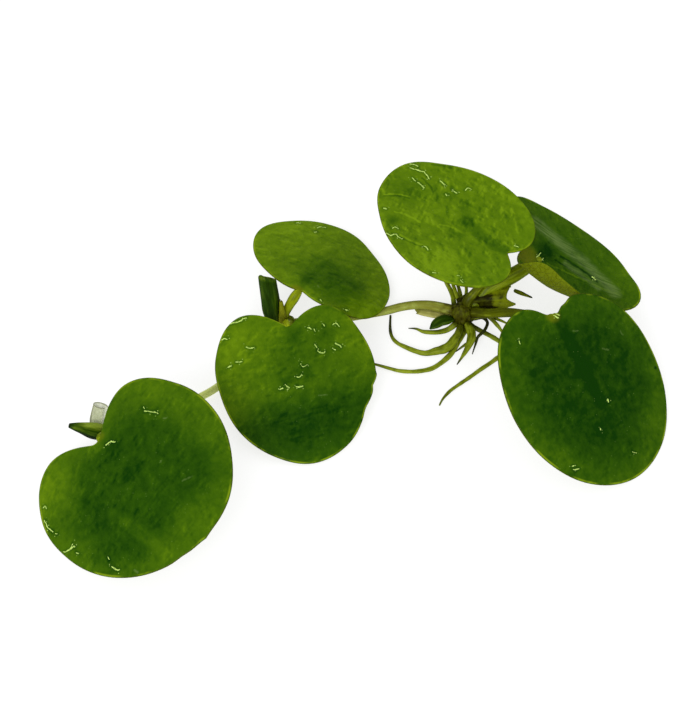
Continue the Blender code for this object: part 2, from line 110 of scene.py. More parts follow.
# How each blade looks. Places are in millimetres along the midrib from the notch, and to its left.
# tone: from 0, deep green, to 1, pale. margin: what the margin adds to it. rim: strength of its painted light
# line.
# patches: place, radius and what it adds to the tone. streaks: start, end, bow, half width, what it adds.
# glints: start, end and bow of the painted highlights on thin wet wrinkles. sheen: streaks of painted sheen.
# foot: place, radius and strength of the stalk's colour in the notch. crumple: depth of the small wrinkles.
# crumple also sets the painted light and shade of the small wrinkles.
LOOKS = {
    "mother_top": dict(
        tone=0.75, margin=0.06, veins=0.6, rim=0.7, mottle=0.8, crumple=0.9, foot=(-0.9, 0.3, 1.2, 0.5),
        patches=((13.3, 1.3, 3.2, 0.1), (17.9, -1.6, 4, -0.14), (15.9, 4.7, 1.3, -0.25),
            (7, 7.8, 4.5, 0.2), (7, 1.2, 0.7, -0.22), (8.7, -4.4, 0.8, -0.15), (2, 3.7, 0.4, -0.18),
            (-0.2, 6.3, 0.6, -0.15), (2, 6.1, 0.5, -0.12)),
        # Past the first two, these streaks are painted light and shade on wrinkles: pale lines, some with a
        # dark line beside them.
        streaks=((0.6, -0.2, 7.1, -1.5, 0.5, 1.3, -0.26), (7.1, -1.5, 8.7, -4.4, 0.3, 1, -0.15),
            (19.1, 1, 16.1, -0.7, 0.2, 0.22, 0.22), (19, 1.3, 16, -0.4, 0.2, 0.22, -0.2),
            (16, -7.8, 13.6, -8.6, 0.2, 0.3, -0.22), (16.1, -4.8, 13.6, -3.4, 0.2, 0.22, -0.25),
            (16.3, 3.1, 12.6, 2.6, 0.3, 0.25, 0.2), (13.7, 6.6, 10, 6.3, -0.2, 0.25, 0.2),
            (13.6, 6.9, 10, 6.6, -0.2, 0.22, -0.18), (10.1, 1.4, 7, 0.7, 0.3, 0.25, 0.16)),
        painted_glints=((18.4, -5.5, 16.4, -5.9, 0), (16.4, -5.9, 15.2, -5.2, 0.1), (18.7, -6.2, 17.6, -6.4, 0),
            (17.3, -4, 16.6, -3.8, 0), (16.2, -3.7, 15.1, -3.3, 0.1), (13.7, -5.8, 12.8, -5.5, 0),
            (12, -4.1, 11.7, -4, 0), (11.6, -5.3, 10.8, -5.1, 0), (10, -6.4, 9.4, -6.9, 0.3),
            (17.9, 3.4, 17.6, 3.3, 0), (15.7, 7.5, 14.7, 7.5, 0), (14.7, 7.5, 14.2, 6.8, 0.1),
            (14.2, 6.8, 13.2, 7, -0.2), (15.2, 6, 14.6, 5.7, 0.3), (10, 6.5, 9.3, 6.8, 0.2),
            (3.9, 8.4, 3.7, 8.3, 0), (3.1, 8.9, 2.7, 9.1, 0), (6.9, 10.3, 6.5, 10, 0),
            (-0.2, -1.7, -0.7, -1.9, 0)),
        sheen=(),
    ),
    "mother_back": dict(
        tone=0.38, margin=0.1, veins=1.2, rim=0.9, mottle=0.6, crumple=0.5, foot=(-1.7, -1.3, 2.6, 0.9),
        # The first patch is painted shade in the cupped base by the notch. The last streak is a painted
        # highlight along the crest of the fold.
        patches=((0.8, 1.9, 1.9, -0.4), (12.5, 4, 4, 0.1)),
        streaks=((3, 2.3, 9, 1, 0.2, 0.3, -0.35), (2.4, 1.2, 8.2, 0.3, 0.2, 0.25, -0.3),
            (5.5, 2.9, 11, 0.6, 0.2, 0.22, -0.3), (1.6, 0, 12.6, 0, 0.2, 0.22, 0.3)),
        painted_glints=((-0.2, -0.2, 0.1, 0.9, 0), (0.2, -0.2, 0.7, 0.4, -0.2), (8.1, 1.4, 8.7, 1.2, 0)),
        sheen=((-2.3, 5.4, 6, 3.4, 0.4, 1.6, 0.85), (6, 3.4, 12, 0, 0.2, 1.3, 0.8),
            (4, 1.6, 9.5, 0, 0.1, 0.8, 0.6)),
    ),
    "mother_front": dict(
        tone=0.07, margin=0.28, veins=0.5, rim=0.8, mottle=0.9, crumple=0.4, foot=(-0.9, 0.3, 1.5, 0.8),
        patches=((17.9, 6.4, 4.5, 0.12), (12, 11.5, 0.3, -0.6), (10.8, 11.2, 0.5, -0.15),
            (4.9, -7, 0.8, -0.15), (5.8, 11.4, 0.7, -0.12), (1.5, -5, 3.5, 0.08), (15.7, -8.6, 4, 0.1),
            (22.5, 1.2, 3, 0.08)),
        streaks=((0.6, 0.8, 12.4, 0.6, -0.3, 1.5, -0.16),),
        painted_glints=((-0.6, 0.4, -0.1, 0.8, 0), (-0.8, 0.8, -0.4, 1.2, 0), (0.3, -6.3, 0.6, -6.4, 0),
            (12.8, 1.6, 13.1, 1.6, 0), (15.7, -1.6, 15.9, -1.6, 0), (20.6, 1.4, 20.8, 1.7, 0),
            (18.9, -8.1, 19.2, -7.3, 0), (18.5, -8.1, 18.5, -7.8, 0)),
        sheen=((5.3, 9, 5.9, 9.1, 0, 0.2, 0.5), (6.3, 4.9, 6.9, 5.6, 0.1, 0.2, 0.5),
            (2.4, 1.8, 2.7, 2.5, 0, 0.2, 0.5)),
    ),
    "second_front": dict(
        tone=0.48, margin=0.14, veins=0.4, rim=0.8, mottle=0.8, crumple=0.6, foot=(-0.6, 0.2, 1, 0.7),
        patches=((1.8, -6.1, 5.5, 0.25), (3, 8, 4.5, 0.1), (1.6, 0.8, 1.8, -0.22), (5, -0.3, 3.2, -0.12),
            (1.9, 5.2, 1.8, -0.18), (7.1, 1.3, 1.2, -0.15), (8.2, -1.9, 1.2, -0.18), (8, -6, 4, 0.12)),
        streaks=((16.5, -6, 14.5, 10, 0, 7, -0.39),),
        painted_glints=((-1.8, -7.5, -2.2, -5.2, -0.1), (0.3, -9.1, 0.4, -8.4, 0.1), (2.1, -5.9, 2.5, -4.9, -0.1),
            (4, -7.7, 4.1, -7, 0), (4.5, -9, 4.4, -8.5, 0), (-0.7, 0.4, -0.9, 1.5, -0.2),
            (0.9, 2.9, 1.2, 3.3, 0.1), (1.2, 3.7, 1.6, 3.8, 0), (0.7, 5.1, 0.9, 5.2, 0),
            (0.9, 6.5, 1.3, 7.2, 0.2), (3.5, 3.4, 3.9, 3.5, 0), (4.5, 3.6, 4.7, 4.5, -0.2),
            (3.7, 6.2, 4.4, 6.9, 0), (4.5, 5.8, 4.6, 6, 0), (5.8, 1, 6.2, 1.7, -0.5),
            (7.7, 0, 7.4, 0.7, -0.2), (9, -0.4, 9.2, 0.5, -0.1), (8.6, -1.8, 9.1, -1.4, 0),
            (9.1, -2.6, 9, -2.2, 0)),
        sheen=((10.8, 2.5, 11, 3.6, 0, 0.2, 0.5),),
    ),
    "second_back": dict(
        tone=0.73, margin=0.12, veins=0.7, rim=0.7, mottle=0.8, crumple=0.5, foot=(-0.2, 0.5, 1.4, 0.8),
        patches=((5, -2.6, 5.7, -0.4), (10, 6, 6, 0.12), (6.6, -5.8, 1.5, -0.15), (2.9, 0.4, 1.5, -0.18)),
        streaks=((0.5, 0.4, 8, 0.1, 0.3, 0.8, -0.1),),
        painted_glints=((13.9, 4.7, 14.8, 3.9, 0.2), (12.6, 4.5, 12.9, 4.4, 0), (12.6, 7.6, 13, 7.1, 0.1),
            (-0.6, -0.9, -0.2, -1.5, 0.1), (0.7, -2.8, 0.6, -3.1, 0), (1.8, -6.5, 1.7, -6.8, 0)),
        sheen=((2.8, -1.3, 2.6, -1.5, 0, 0.2, 0.5),),
    ),
    "third": dict(
        tone=0.2, margin=0.31, veins=0.4, rim=0.7, mottle=0.8, crumple=0.5, foot=(-0.3, 0.2, 1.2, 0.5),
        patches=((0, -8.5, 5.5, 0.3), (0.5, 9, 5.5, 0.16), (2.9, 0, 2.4, -0.2), (5.8, -6.7, 1, -0.15),
            (13.6, -10.6, 3, -0.16), (16.5, 8.5, 4, -0.12), (4.7, -10.9, 0.5, -0.2), (7.6, 0.2, 2, -0.12),
            (8, 10.6, 4.5, 0.13), (19, 1.5, 3.5, 0.14), (9.4, -7, 3.5, -0.12), (17.1, -7.6, 4.5, -0.16)),
        streaks=((10.2, -5.3, 20.6, -3.6, 0.3, 1.3, 0.14),),
        painted_glints=((1.3, 7.3, 1.6, 7.2, 0), (2, 7, 3.7, 8.1, 0.1), (1.6, 0.2, 2.3, 1.3, 0.2),
            (0.9, -11.8, 1.4, -11.5, 0.2), (2.5, -12.8, 4.4, -13, -0.1), (4.4, -13, 4.8, -12.9, 0),
            (5.3, -12.8, 5.6, -12.7, 0), (8.3, -13.6, 8.6, -12, -0.3), (8.9, -12.5, 9.2, -12, 0.1),
            (10, -12.3, 10.3, -12.2, 0), (14.3, -9.6, 14.6, -9.7, 0), (15.6, -10, 16.8, -9.5, -0.1)),
        sheen=((4.9, 8.3, 5.2, 8.6, 0, 0.2, 0.5), (14.3, 4.4, 14.9, 5.7, 0.1, 0.2, 0.4),
            (18.6, -8.1, 19.1, -7.9, 0, 0.2, 0.6), (9.7, 4.1, 9.8, 4, 0, 0.2, 0.7)),
    ),
}

# Crowns, the short stems that everything grows from: centre and half sizes.
CROWNS = {
    "mother": dict(centre=(0, 0, 1.7), half=(1.7, 1.5, 2.1)),
    "second": dict(centre=(-24.6, -1.1, 1.1), half=(1.1, 1, 1.4)),
    "third": dict(centre=(-47.9, -19.3, 0.9), half=(1, 0.9, 1.2)),
}
CROWN_FINENESS = 5
CROWN_RIBS = 11
RIB_HEIGHT = 0.05  # share of the crown's size, as are the heights of the knobs
KNOBS = ((2.4, 0.08), (6.0, 0.04))  # how closely each kind of knob stands, and its height

# Stalks, runners and roots: evenly spaced radii, and the points that the centre line passes, crown first.
# Stalks and runners run on into what they join. tip_from: share of a root's length where its dark tip starts.
STALKS = {
    "mother_top": dict(
        radii=(0.85, 0.62, 0.6, 0.62, 0.75),
        route=((0.4, 0.4, 3), (0.8, 0.8, 4.1), (1.9, 1.6, 5.2), (3.6, 2.5, 7.8), (5, 3, 10.4),
            (5.7, 3.1, 11.5)),
    ),
    "mother_back": dict(
        radii=(1, 1, 1.12, 1.12, 1, 0.8),
        route=((0.9, 0.7, 2.3), (1.9, 1.2, 2.9), (3.2, 2.3, 4), (4.9, 3.05, 4.9), (7, 3.75, 5.8),
            (8.6, 4.45, 6.5), (9.8, 4.95, 7.1), (11.2, 5.2, 7.4)),
    ),
    "mother_front": dict(
        radii=(0.95, 0.7, 0.66, 0.62, 0.66, 0.45),
        route=((0.9, 0.1, 2.1), (2, -0.4, 2.7), (3, -1, 3.3), (4.4, -1.9, 4.6), (6.6, -3.5, 6.9),
            (9.2, -5.9, 9.5), (11.1, -7.9, 11.1), (12.2, -8.9, 11.35)),
    ),
    "second_front": dict(
        radii=(0.7, 0.56, 0.55, 0.6),
        route=((-24.5, -1.4, 1.7), (-24.5, -2.2, 2.5), (-24.6, -3.3, 4.2), (-24.6, -4.7, 5.9),
            (-24.6, -5.9, 6.4)),
    ),
    "second_back": dict(
        radii=(0.75, 0.6, 0.64, 0.72, 0.52),
        route=((-25.2, -1.3, 1.6), (-25.1, -1.05, 2.4), (-24.5, -0.5, 3.8), (-23.75, 0.15, 5),
            (-23.1, 0.75, 5.8), (-22.7, 1.2, 5.7)),
    ),
    "third": dict(
        radii=(0.8, 0.62, 0.6, 0.6),
        route=((-47.9, -19.6, 1.3), (-48, -20.2, 2.1), (-48.5, -21.6, 3.7), (-49.1, -23, 5.5),
            (-49.2, -24.1, 6.1)),
    ),
}
RUNNERS = {
    "mother_to_second": dict(
        radii=(0.85, 0.64, 0.6, 0.6, 0.58, 0.6),
        route=((-1, 0.3, 1.9), (-2.4, 0.75, 2), (-4.5, 1.4, 1.9), (-6.6, 1.75, 1.5), (-8.7, 1.7, 1.05),
            (-10.9, 1.25, 0.72), (-15.1, 0.4, 0.65), (-19.3, -0.4, 0.7), (-23.1, -0.9, 1),
            (-24.1, -1, 1.1)),
    ),
    "second_to_third": dict(
        radii=(0.6, 0.56, 0.54, 0.54, 0.52, 0.6),
        route=((-25, -1.5, 1.1), (-25.7, -2.2, 1.1), (-29.1, -6, 1), (-31.7, -9.6, 0.9),
            (-34.2, -11.9, 0.9), (-36.1, -13.3, 0.9), (-40.5, -16, 0.9), (-44.3, -18, 0.9),
            (-46.5, -18.9, 1), (-47.3, -19.1, 1)),
    ),
}
ROOTS = {
    "mother_left": dict(
        radii=(0.5, 0.4, 0.36, 0.33, 0.28, 0.18, 0.06), tip_from=0.72,
        route=((-0.8, -1.1, 1.3), (-1.25, -1.55, 1.1), (-2.2, -1.95, 0.6), (-3.6, -2.2, 0.42),
            (-5.4, -2.1, 0.4), (-6.5, -1.6, 0.4), (-7.6, -1.5, 0.4)),
    ),
    "mother_hook": dict(
        radii=(0.5, 0.5, 0.66, 0.6, 0.42, 0.36, 0.3, 0.25, 0.2, 0.14), tip_from=0.66,
        route=((-0.2, -1.3, 1.2), (-0.35, -1.95, 1.1), (-0.75, -3.3, 1.5), (-1.6, -4.8, 1.4),
            (-2.5, -5.4, 1), (-3.9, -5.6, 0.6), (-5.3, -5.8, 0.4), (-6.7, -5.4, 0.4), (-8.1, -4.7, 0.4),
            (-9.2, -4, 0.4), (-9.9, -3, 0.4), (-10.15, -1.5, 0.4), (-10.08, 0.8, 0.4)),
    ),
    "mother_long": dict(
        radii=(0.42, 0.42, 0.42, 0.36, 0.34, 0.3, 0.27, 0.22, 0.14), tip_from=0.86,
        route=((0.3, -1.3, 0.7), (0.3, -1.95, 0.5), (-0.15, -2.9, 0.4), (-0.75, -4, 0.4),
            (-1.3, -5.2, 0.4), (-2, -6.3, 0.4), (-3.3, -7.6, 0.4), (-4.7, -8.5, 0.4), (-6.8, -8.9, 0.4),
            (-8.8, -8.8, 0.4), (-10.2, -8.4, 0.4), (-11.9, -7.8, 0.4), (-13.2, -7.4, 0.4)),
    ),
    "mother_middle": dict(
        radii=(0.5, 0.58, 0.64, 0.54, 0.36, 0.22, 0.07), tip_from=0.8,
        route=((0.6, -1.2, 1.6), (0.8, -1.9, 1.5), (1.15, -3.1, 1.7), (1.15, -4.2, 1.7), (0.65, -5.5, 1.5),
            (-0.1, -6.8, 1.2), (-0.95, -8.1, 0.9)),
        twig=((0.55, -4.9, 1.6), (-0.2, -5.5, 1.5), (-1.1, -6.2, 1.3)),
        twig_radii=(0.2, 0.16, 0.05),
    ),
    "mother_dark": dict(
        radii=(0.28, 0.25, 0.22, 0.24, 0.22, 0.16, 0.06), tip_from=-0.2,
        route=((1.3, 0, 0.6), (1.95, 0.15, 0.45), (2.9, 0.3, 0.45), (3.55, -0.8, 0.8), (3, -2.8, 1.65),
            (2.1, -3.75, 1.5), (1.8, -4.6, 1.2), (1.25, -6.2, 0.7)),
    ),
    "mother_crossing": dict(
        radii=(0.38, 0.34, 0.33, 0.32, 0.32, 0.3, 0.28, 0.26, 0.22, 0.12), tip_from=0.9,
        route=((0.9, -0.8, 0.8), (1.5, -1.3, 0.55), (2.7, -2.1, 0.5), (3.8, -2.8, 0.5), (5.1, -3.7, 0.4),
            (6.2, -4.7, 0.4), (6, -5.8, 0.4), (4.9, -6.5, 0.4), (3.7, -7.5, 0.4), (2.3, -8.6, 0.4),
            (0.9, -9.8, 0.4), (-0.6, -11, 0.4), (-2, -12.2, 0.4), (-3, -13.5, 0.4), (-3.5, -14.6, 0.4)),
    ),
    "mother_right": dict(
        radii=(0.36, 0.32, 0.3, 0.26, 0.16), tip_from=0.9,
        route=((1.1, -0.4, 1.5), (1.85, -0.4, 1.45), (3.5, -0.15, 1.45), (4.9, -1.4, 1), (5.8, -2.6, 0.5)),
    ),
    "mother_right_back": dict(
        radii=(0.34, 0.27, 0.24, 0.2, 0.1), tip_from=0.85,
        route=((1.2, 0.4, 0.9), (2, 0.55, 0.75), (4, 0.2, 0.7), (5.4, -0.5, 0.9), (6.6, -1.4, 1.1)),
    ),
    "mother_back_left": dict(
        radii=(0.42, 0.36, 0.32, 0.24, 0.1), tip_from=0.8,
        route=((-0.8, 1.1, 1.2), (-1.05, 1.7, 1.2), (-1.3, 3.2, 1.8), (-2, 5.2, 1.8), (-2.6, 7.2, 1.1),
            (-2.9, 9.4, 0.4)),
    ),
    "mother_back_high": dict(
        radii=(0.34, 0.28, 0.26, 0.2, 0.08), tip_from=0.8,
        route=((-0.3, 1.1, 2.2), (-0.45, 1.85, 2.3), (-1, 3.4, 2.8), (-1.3, 4.6, 2.8), (-1.6, 6.3, 2.2),
            (-1.7, 8.2, 1.2)),
    ),
    "mother_back": dict(
        radii=(0.34, 0.28, 0.26, 0.2, 0.08), tip_from=0.8,
        route=((0.05, 1.2, 1.3), (0.05, 1.95, 1.2), (-0.2, 3.5, 1.8), (-0.5, 4.9, 1.9), (-0.6, 6.8, 1.1),
            (-0.3, 8.4, 0.4)),
    ),
    "mother_back_right": dict(
        radii=(0.3, 0.24, 0.22, 0.18, 0.08), tip_from=0.8,
        route=((0.2, 1.1, 2.1), (0.35, 1.85, 2.1), (0.6, 3, 2.9), (0.6, 3.9, 3.1), (0.7, 5.4, 2.6),
            (0.9, 7, 1.4)),
    ),
    "second_left": dict(
        radii=(0.32, 0.28, 0.22, 0.08), tip_from=0.8,
        route=((-25.4, -1, 0.8), (-26, -0.9, 0.7), (-27.2, -1, 0.45), (-28.4, -1.7, 0.4),
            (-29.2, -2.9, 0.4)),
    ),
    "second_right": dict(
        radii=(0.32, 0.28, 0.22, 0.08), tip_from=0.8,
        route=((-24, -1.6, 0.8), (-23.5, -2.1, 0.7), (-22.3, -3.2, 0.4), (-21.6, -4.8, 0.4),
            (-21.5, -6.6, 0.4)),
    ),
    "third_right": dict(
        radii=(0.3, 0.26, 0.2, 0.08), tip_from=0.8,
        route=((-47.4, -19.8, 0.7), (-47.1, -20.3, 0.6), (-46.2, -21.3, 0.4), (-45.9, -22.8, 0.4),
            (-46.2, -24.4, 0.4)),
    ),
    "third_back": dict(
        radii=(0.3, 0.26, 0.2, 0.08), tip_from=0.8,
        route=((-48, -18.6, 0.7), (-48, -18, 0.7), (-47.6, -17, 0.4), (-46.6, -16.2, 0.4),
            (-45.2, -15.9, 0.4)),
    ),
}
LINE_POINTS = 24  # close points of a smooth line for each point of its route
STEP = 0.28  # distance between the rings of a tube
FEWEST_STEPS = 6
UPRIGHT = 0.3  # a line with less level travel than this counts as upright
STEM_SIDES = 18
ROOT_SIDES = 12
ROOT_LUMPS = 0.12  # share by which a root's radius varies
LUMP_SCALE = 1.3  # changes of the radius in each millimetre
TWIG_BEGIN = 0.85  # where a twig's colour starts on the scale of its root
CAP_TURNS = (20, 45, 70)  # angles of the rings that round off a tube's end

# Rolled leaves, scales and sheaths are curls: a thin sheet turned round a centre line.
# across: where angle 0 points. arc: first and last angle. inwards: share that the curl narrows in each turn.
# ends: at even steps round the arc, the share of the route that the sheet reaches.
# flat: height of the section as a share of its width.
CURLS = {
    "rolled_leaf_second": dict(
        kind="young_leaf", wall=0.26, flat=0.9, across=(1, 0, 0), arc=(-150, 350), inwards=0.2,
        ends=(0.98, 0.99, 0.92, 0.83, 0.76, 0.78, 0.87, 0.97, 0.98, 0.9, 0.8),
        radii=(1, 1.38, 1.44, 1.42, 1.38, 1.35, 1.33),
        route=((-26.2, -0.9, 1.4), (-26.45, -0.7, 2.1), (-26.8, -0.3, 3.7), (-26.93, 0, 5.6),
            (-27.08, 0.1, 7.7), (-27.22, 0.2, 9.6), (-27.3, 0.3, 11.2)),
    ),
    "rolled_leaf_third": dict(
        kind="third_leaf", wall=0.2, flat=1, across=(0, 1, 0), arc=(-120, 400), inwards=0.2, ends=(1, 1),
        radii=(1, 1.25, 1.3, 1.15, 0.9, 0.66, 0.36),
        route=((-48.6, -19.8, 1.6), (-49.4, -20.1, 2.1), (-50.5, -20.4, 2.9), (-52, -20.65, 4),
            (-53.6, -20.9, 5)),
    ),
    "bud_leaf": dict(
        kind="bud", wall=0.16, flat=0.6, across=(0, 1, 0), arc=(-100, 330), inwards=0.2, ends=(1, 1),
        radii=(0.42, 0.9, 0.94, 0.78, 0.16),
        route=((-1.3, -1, 2), (-1.9, -1.2, 2), (-3.1, -1.4, 1.9), (-4.6, -2.55, 1.7)),
    ),
    "bract": dict(
        kind="bract", wall=0.12, flat=0.65, across=(0, 1, 0), arc=(-100, 190), inwards=0.1,
        ends=(0.93, 1, 0.97, 0.9, 0.95), radii=(0.32, 0.6, 0.68, 0.62, 0.36),
        route=((-1.3, -0.05, 0.95), (-1.9, 0.12, 0.85), (-3.2, 0.55, 0.7), (-4.9, 1, 0.6),
            (-6.7, 1.4, 0.5)),
    ),
    "sheath_shred": dict(
        kind="shred", wall=0.08, flat=0.5, across=(0, 1, 0), arc=(-130, 130), inwards=0,
        ends=(0.9, 1, 0.94, 0.97, 0.9), radii=(0.22, 0.28, 0.16, 0.04),
        route=((7.2, 2, 4.6), (8.4, 1.3, 4.7), (9.7, 0.5, 4.9)),
    ),
    "sheath_mother": dict(
        kind="sheath", wall=0.14, flat=1, across=(0, 1, 0), arc=(0, 255), inwards=0,
        ends=(0.95, 0.94, 0.93, 0.94, 0.92, 0.9, 0.87, 0.85, 0.85, 0.92, 1, 0.88, 0.8, 0.78, 0.75, 0.76),
        radii=(0.8, 1.27, 1.5, 1.7, 1.7),
        route=((-0.6, 1.3, 2.3), (1, 1.5, 2.75), (3, 1.8, 3), (5.2, 1.9, 3.15), (7.4, 2, 3.25)),
    ),
    "sheath_second": dict(
        kind="pale_sheath", wall=0.1, flat=1, across=(1, 0, 0), arc=(150, 350), inwards=0,
        ends=(0.95, 1, 0.93, 0.97, 0.9), radii=(0.7, 0.54, 0.36, 0.16),
        route=((-25.1, -1.6, 1.8), (-25.18, -1.5, 2.6), (-25.26, -1.2, 4.2), (-25.4, -0.9, 6.6)),
    ),
    "sheath_third": dict(
        kind="clear_sheath", wall=0.08, flat=0.4, across=(1, 0, 0), arc=(0, 300), inwards=0,
        ends=(0.92, 0.97, 1, 0.99, 0.95, 0.93), radii=(1.2, 1.16, 1.08, 1.04),
        route=((-49.9, -18.8, 1.2), (-50.1, -18.5, 2.2), (-49.9, -18.1, 3.6), (-49.5, -17.75, 5.4)),
    ),
}
CURL_STRIPS = 40
CURL_STEPS = 18
YOUNG_STOPS = (0.0, 0.45, 0.75, 1.0)  # how lit a rolled leaf is where each of its four greens stands

# Specular levels: the plant is wet, but a stronger mirror image of the white room would veil its greens.
LEAF_GLOSS = 0.04
STEM_GLOSS = 0.08
SHEATH_GLOSS = 0.03
WATER_ROUGHNESS = 0.08
WATER_IOR = 1.45

# Streaks run along a piece, so their noise is drawn out that way. Depths of the fine relief, in millimetres.
BROAD_STRETCH = (0.12, 1.0, 1.0)
THIN_STRETCH = (0.08, 1.0, 1.0)
STEM_DEPTH = 0.06
SHEATH_DEPTH = 0.05
CROWN_DEPTH = 0.12

# The stage, in metres, and the width and height of the photograph.
FLOOR_REACH = 4.0
FLOOR_DROP = 0.00005
LAMP_PLACE = (-0.2, -0.5, 0.45)
LAMP_WIDTH = 0.35
WHITE_LIGHT = (1.0, 1.0, 1.0, 1.0)
NEAREST_SEEN = 0.01
PHOTO_SIZE = (700, 704)


class Channel:
    """A node's output. Python's operators on it add Math nodes."""

    def __init__(self, finish, socket):
        self.finish = finish
        self.socket = socket

    def maths(self, operation, *operands):
        return self.finish.node("ShaderNodeMath", dict(operation=operation), dict(enumerate(operands)))

    def __add__(self, other):
        return self.maths("ADD", self, other)

    __radd__ = __add__

    def __sub__(self, other):
        return self.maths("SUBTRACT", self, other)

    def __rsub__(self, other):
        return self.maths("SUBTRACT", other, self)

    def __mul__(self, other):
        return self.maths("MULTIPLY", self, other)

    __rmul__ = __mul__

    def __truediv__(self, other):
        return self.maths("DIVIDE", self, other)

    def __pow__(self, other):
        return self.maths("POWER", self, other)

    def __abs__(self):
        return self.maths("ABSOLUTE", self)

    def least(self, other):
        return self.maths("MINIMUM", self, other)

    def most(self, other):
        return self.maths("MAXIMUM", self, other)

    def within(self):
        """The value, kept between 0 and 1."""
        return self.most(0.0).least(1.0)

    def fade(self, start, end):
        """0 where the value is start, 1 where it is end, with a soft change between."""
        sockets = {"Value": self, "From Min": start, "From Max": end}
        return self.finish.node("ShaderNodeMapRange", dict(interpolation_type="SMOOTHSTEP"), sockets)


class Finish:
    """The nodes of a material, or of the world. All but the first shader come from its method node."""

    def __init__(self, owner, shader="Principled BSDF", **constants):
        owner.use_nodes = True
        self.owner = owner
        self.tree = owner.node_tree
        self.shader = self.tree.nodes[shader]
        for socket, value in constants.items():
            self.shader.inputs[socket.replace("_", " ")].default_value = value

    def node(self, kind, settings, sockets, output=0):
        """Adds a node: its settings first, then each socket's value or link. Returns one of its outputs."""
        made = self.tree.nodes.new(kind)
        for name, value in settings.items():
            if name == "stops":
                self.set_stops(made.color_ramp, value)
            else:
                setattr(made, name, value)
        for key, value in sockets.items():
            socket = made.inputs[key]
            if isinstance(value, Channel):
                self.tree.links.new(value.socket, socket)
            elif socket.type == "RGBA":
                socket.default_value = (*value[:3], 1.0)
            else:
                socket.default_value = value
        return Channel(self, made.outputs[output])

    @staticmethod
    def set_stops(ramp, stops):
        """Gives a colour ramp its stops, each a place and a colour."""
        while len(ramp.elements) < len(stops):
            ramp.elements.new(1.0)
        for element, (place, colour) in zip(ramp.elements, stops):
            element.position = place
            element.color = (*colour[:3], 1.0)

    def attribute(self, name, output="Vector"):
        return self.node("ShaderNodeAttribute", dict(attribute_name=name), {}, output)

    def vectors(self, operation, sockets, output="Vector"):
        return self.node("ShaderNodeVectorMath", dict(operation=operation), sockets, output)

    def object_place(self):
        """Object coordinates in millimetres."""
        place = self.node("ShaderNodeTexCoord", {}, {}, "Object")
        return self.vectors("SCALE", {0: place, "Scale": 1 / MM})

    def split(self, vector):
        first = self.node("ShaderNodeSeparateXYZ", {}, {0: vector})
        return [Channel(self, output) for output in first.socket.node.outputs]

    def join(self, x, y, z):
        return self.node("ShaderNodeCombineXYZ", {}, {0: x, 1: y, 2: z})

    def stretched(self, vector, scale):
        return self.node("ShaderNodeMapping", {}, {"Vector": vector, "Scale": scale})

    def grain(self, vector, scale, detail=2.0):
        """Noise from 0 to 1, with scale spots in each millimetre."""
        sockets = {"Vector": vector, "Scale": scale, "Detail": detail}
        return self.node("ShaderNodeTexNoise", {}, sockets, "Fac").fade(0.25, 0.75)

    def cells(self, vector, scale, feature="DISTANCE_TO_EDGE"):
        """Distance from the nearest wall of a net of cells, or with F1 from the nearest cell's middle."""
        settings = dict(feature=feature, voronoi_dimensions="2D")
        return self.node("ShaderNodeTexVoronoi", settings, {"Vector": vector, "Scale": scale}, "Distance")

    def mix(self, factor, first, second):
        """The first colour where factor is 0, the second where it is 1."""
        settings = dict(data_type="RGBA", clamp_factor=True)
        return self.node("ShaderNodeMix", settings, {0: factor, 6: first, 7: second}, 2)

    def colours(self, factor, stops):
        return self.node("ShaderNodeValToRGB", dict(stops=stops), {"Fac": factor}, "Color")

    def feed(self, socket, value):
        self.tree.links.new(value.socket, self.shader.inputs[socket])

    def relief(self, height, depth):
        """Bump: height from 0 to 1 is depth millimetres."""
        self.feed("Normal", self.node("ShaderNodeBump", {}, {"Height": height, "Distance": depth * MM}))

    def finished(self, colour, roughness, height, depth):
        """Feeds what every finish has, and returns the material."""
        self.feed("Base Color", colour)
        self.feed("Roughness", roughness)
        self.relief(height, depth)
        return self.owner


def new_finish(name, **constants):
    """A finish for a new material."""
    return Finish(bpy.data.materials.new(name), **constants)


def smooth_value(p0, p1, p2, p3, f):
    """A Catmull-Rom curve through four values or points, f of the way from the second to the third."""
    bent = (p0 * 2 - p1 * 5 + p2 * 4 - p3) * f**2 + (p1 * 3 - p0 - p2 * 3 + p3) * f**3
    return (p1 * 2 + (p2 - p0) * f + bent) * 0.5


def through(points, t):
    """A point on the smooth curve through the given values or points, t from 0 to 1."""
    spans = len(points) - 1
    at = min(int(t * spans), spans - 1)
    p1, p2 = points[at], points[at + 1]
    p0 = points[at - 1] if at > 0 else p1 * 2 - p2
    p3 = points[at + 2] if at + 2 <= spans else p2 * 2 - p1
    return smooth_value(p0, p1, p2, p3, t * spans - at)


def line_through(route):
    """The smooth line through a route as close points, and how far along it each of them is."""
    bends = [Vector(place) for place in route]
    fine = LINE_POINTS * len(route)
    points = [through(bends, i / fine) for i in range(fine + 1)]
    travelled = [0.0]
    for a, b in zip(points, points[1:]):
        travelled.append(travelled[-1] + (b - a).length)
    return points, travelled


def place_along(line, distance):
    """The point at a distance along a line, and the direction of travel there."""
    points, travelled = line
    at = 0
    while at < len(points) - 2 and travelled[at + 1] < distance:
        at += 1
    share = (distance - travelled[at]) / (travelled[at + 1] - travelled[at])
    before = points[max(at - 2, 0)]
    after = points[min(at + 3, len(points) - 1)]
    return points[at].lerp(points[at + 1], share), (after - before).normalized()


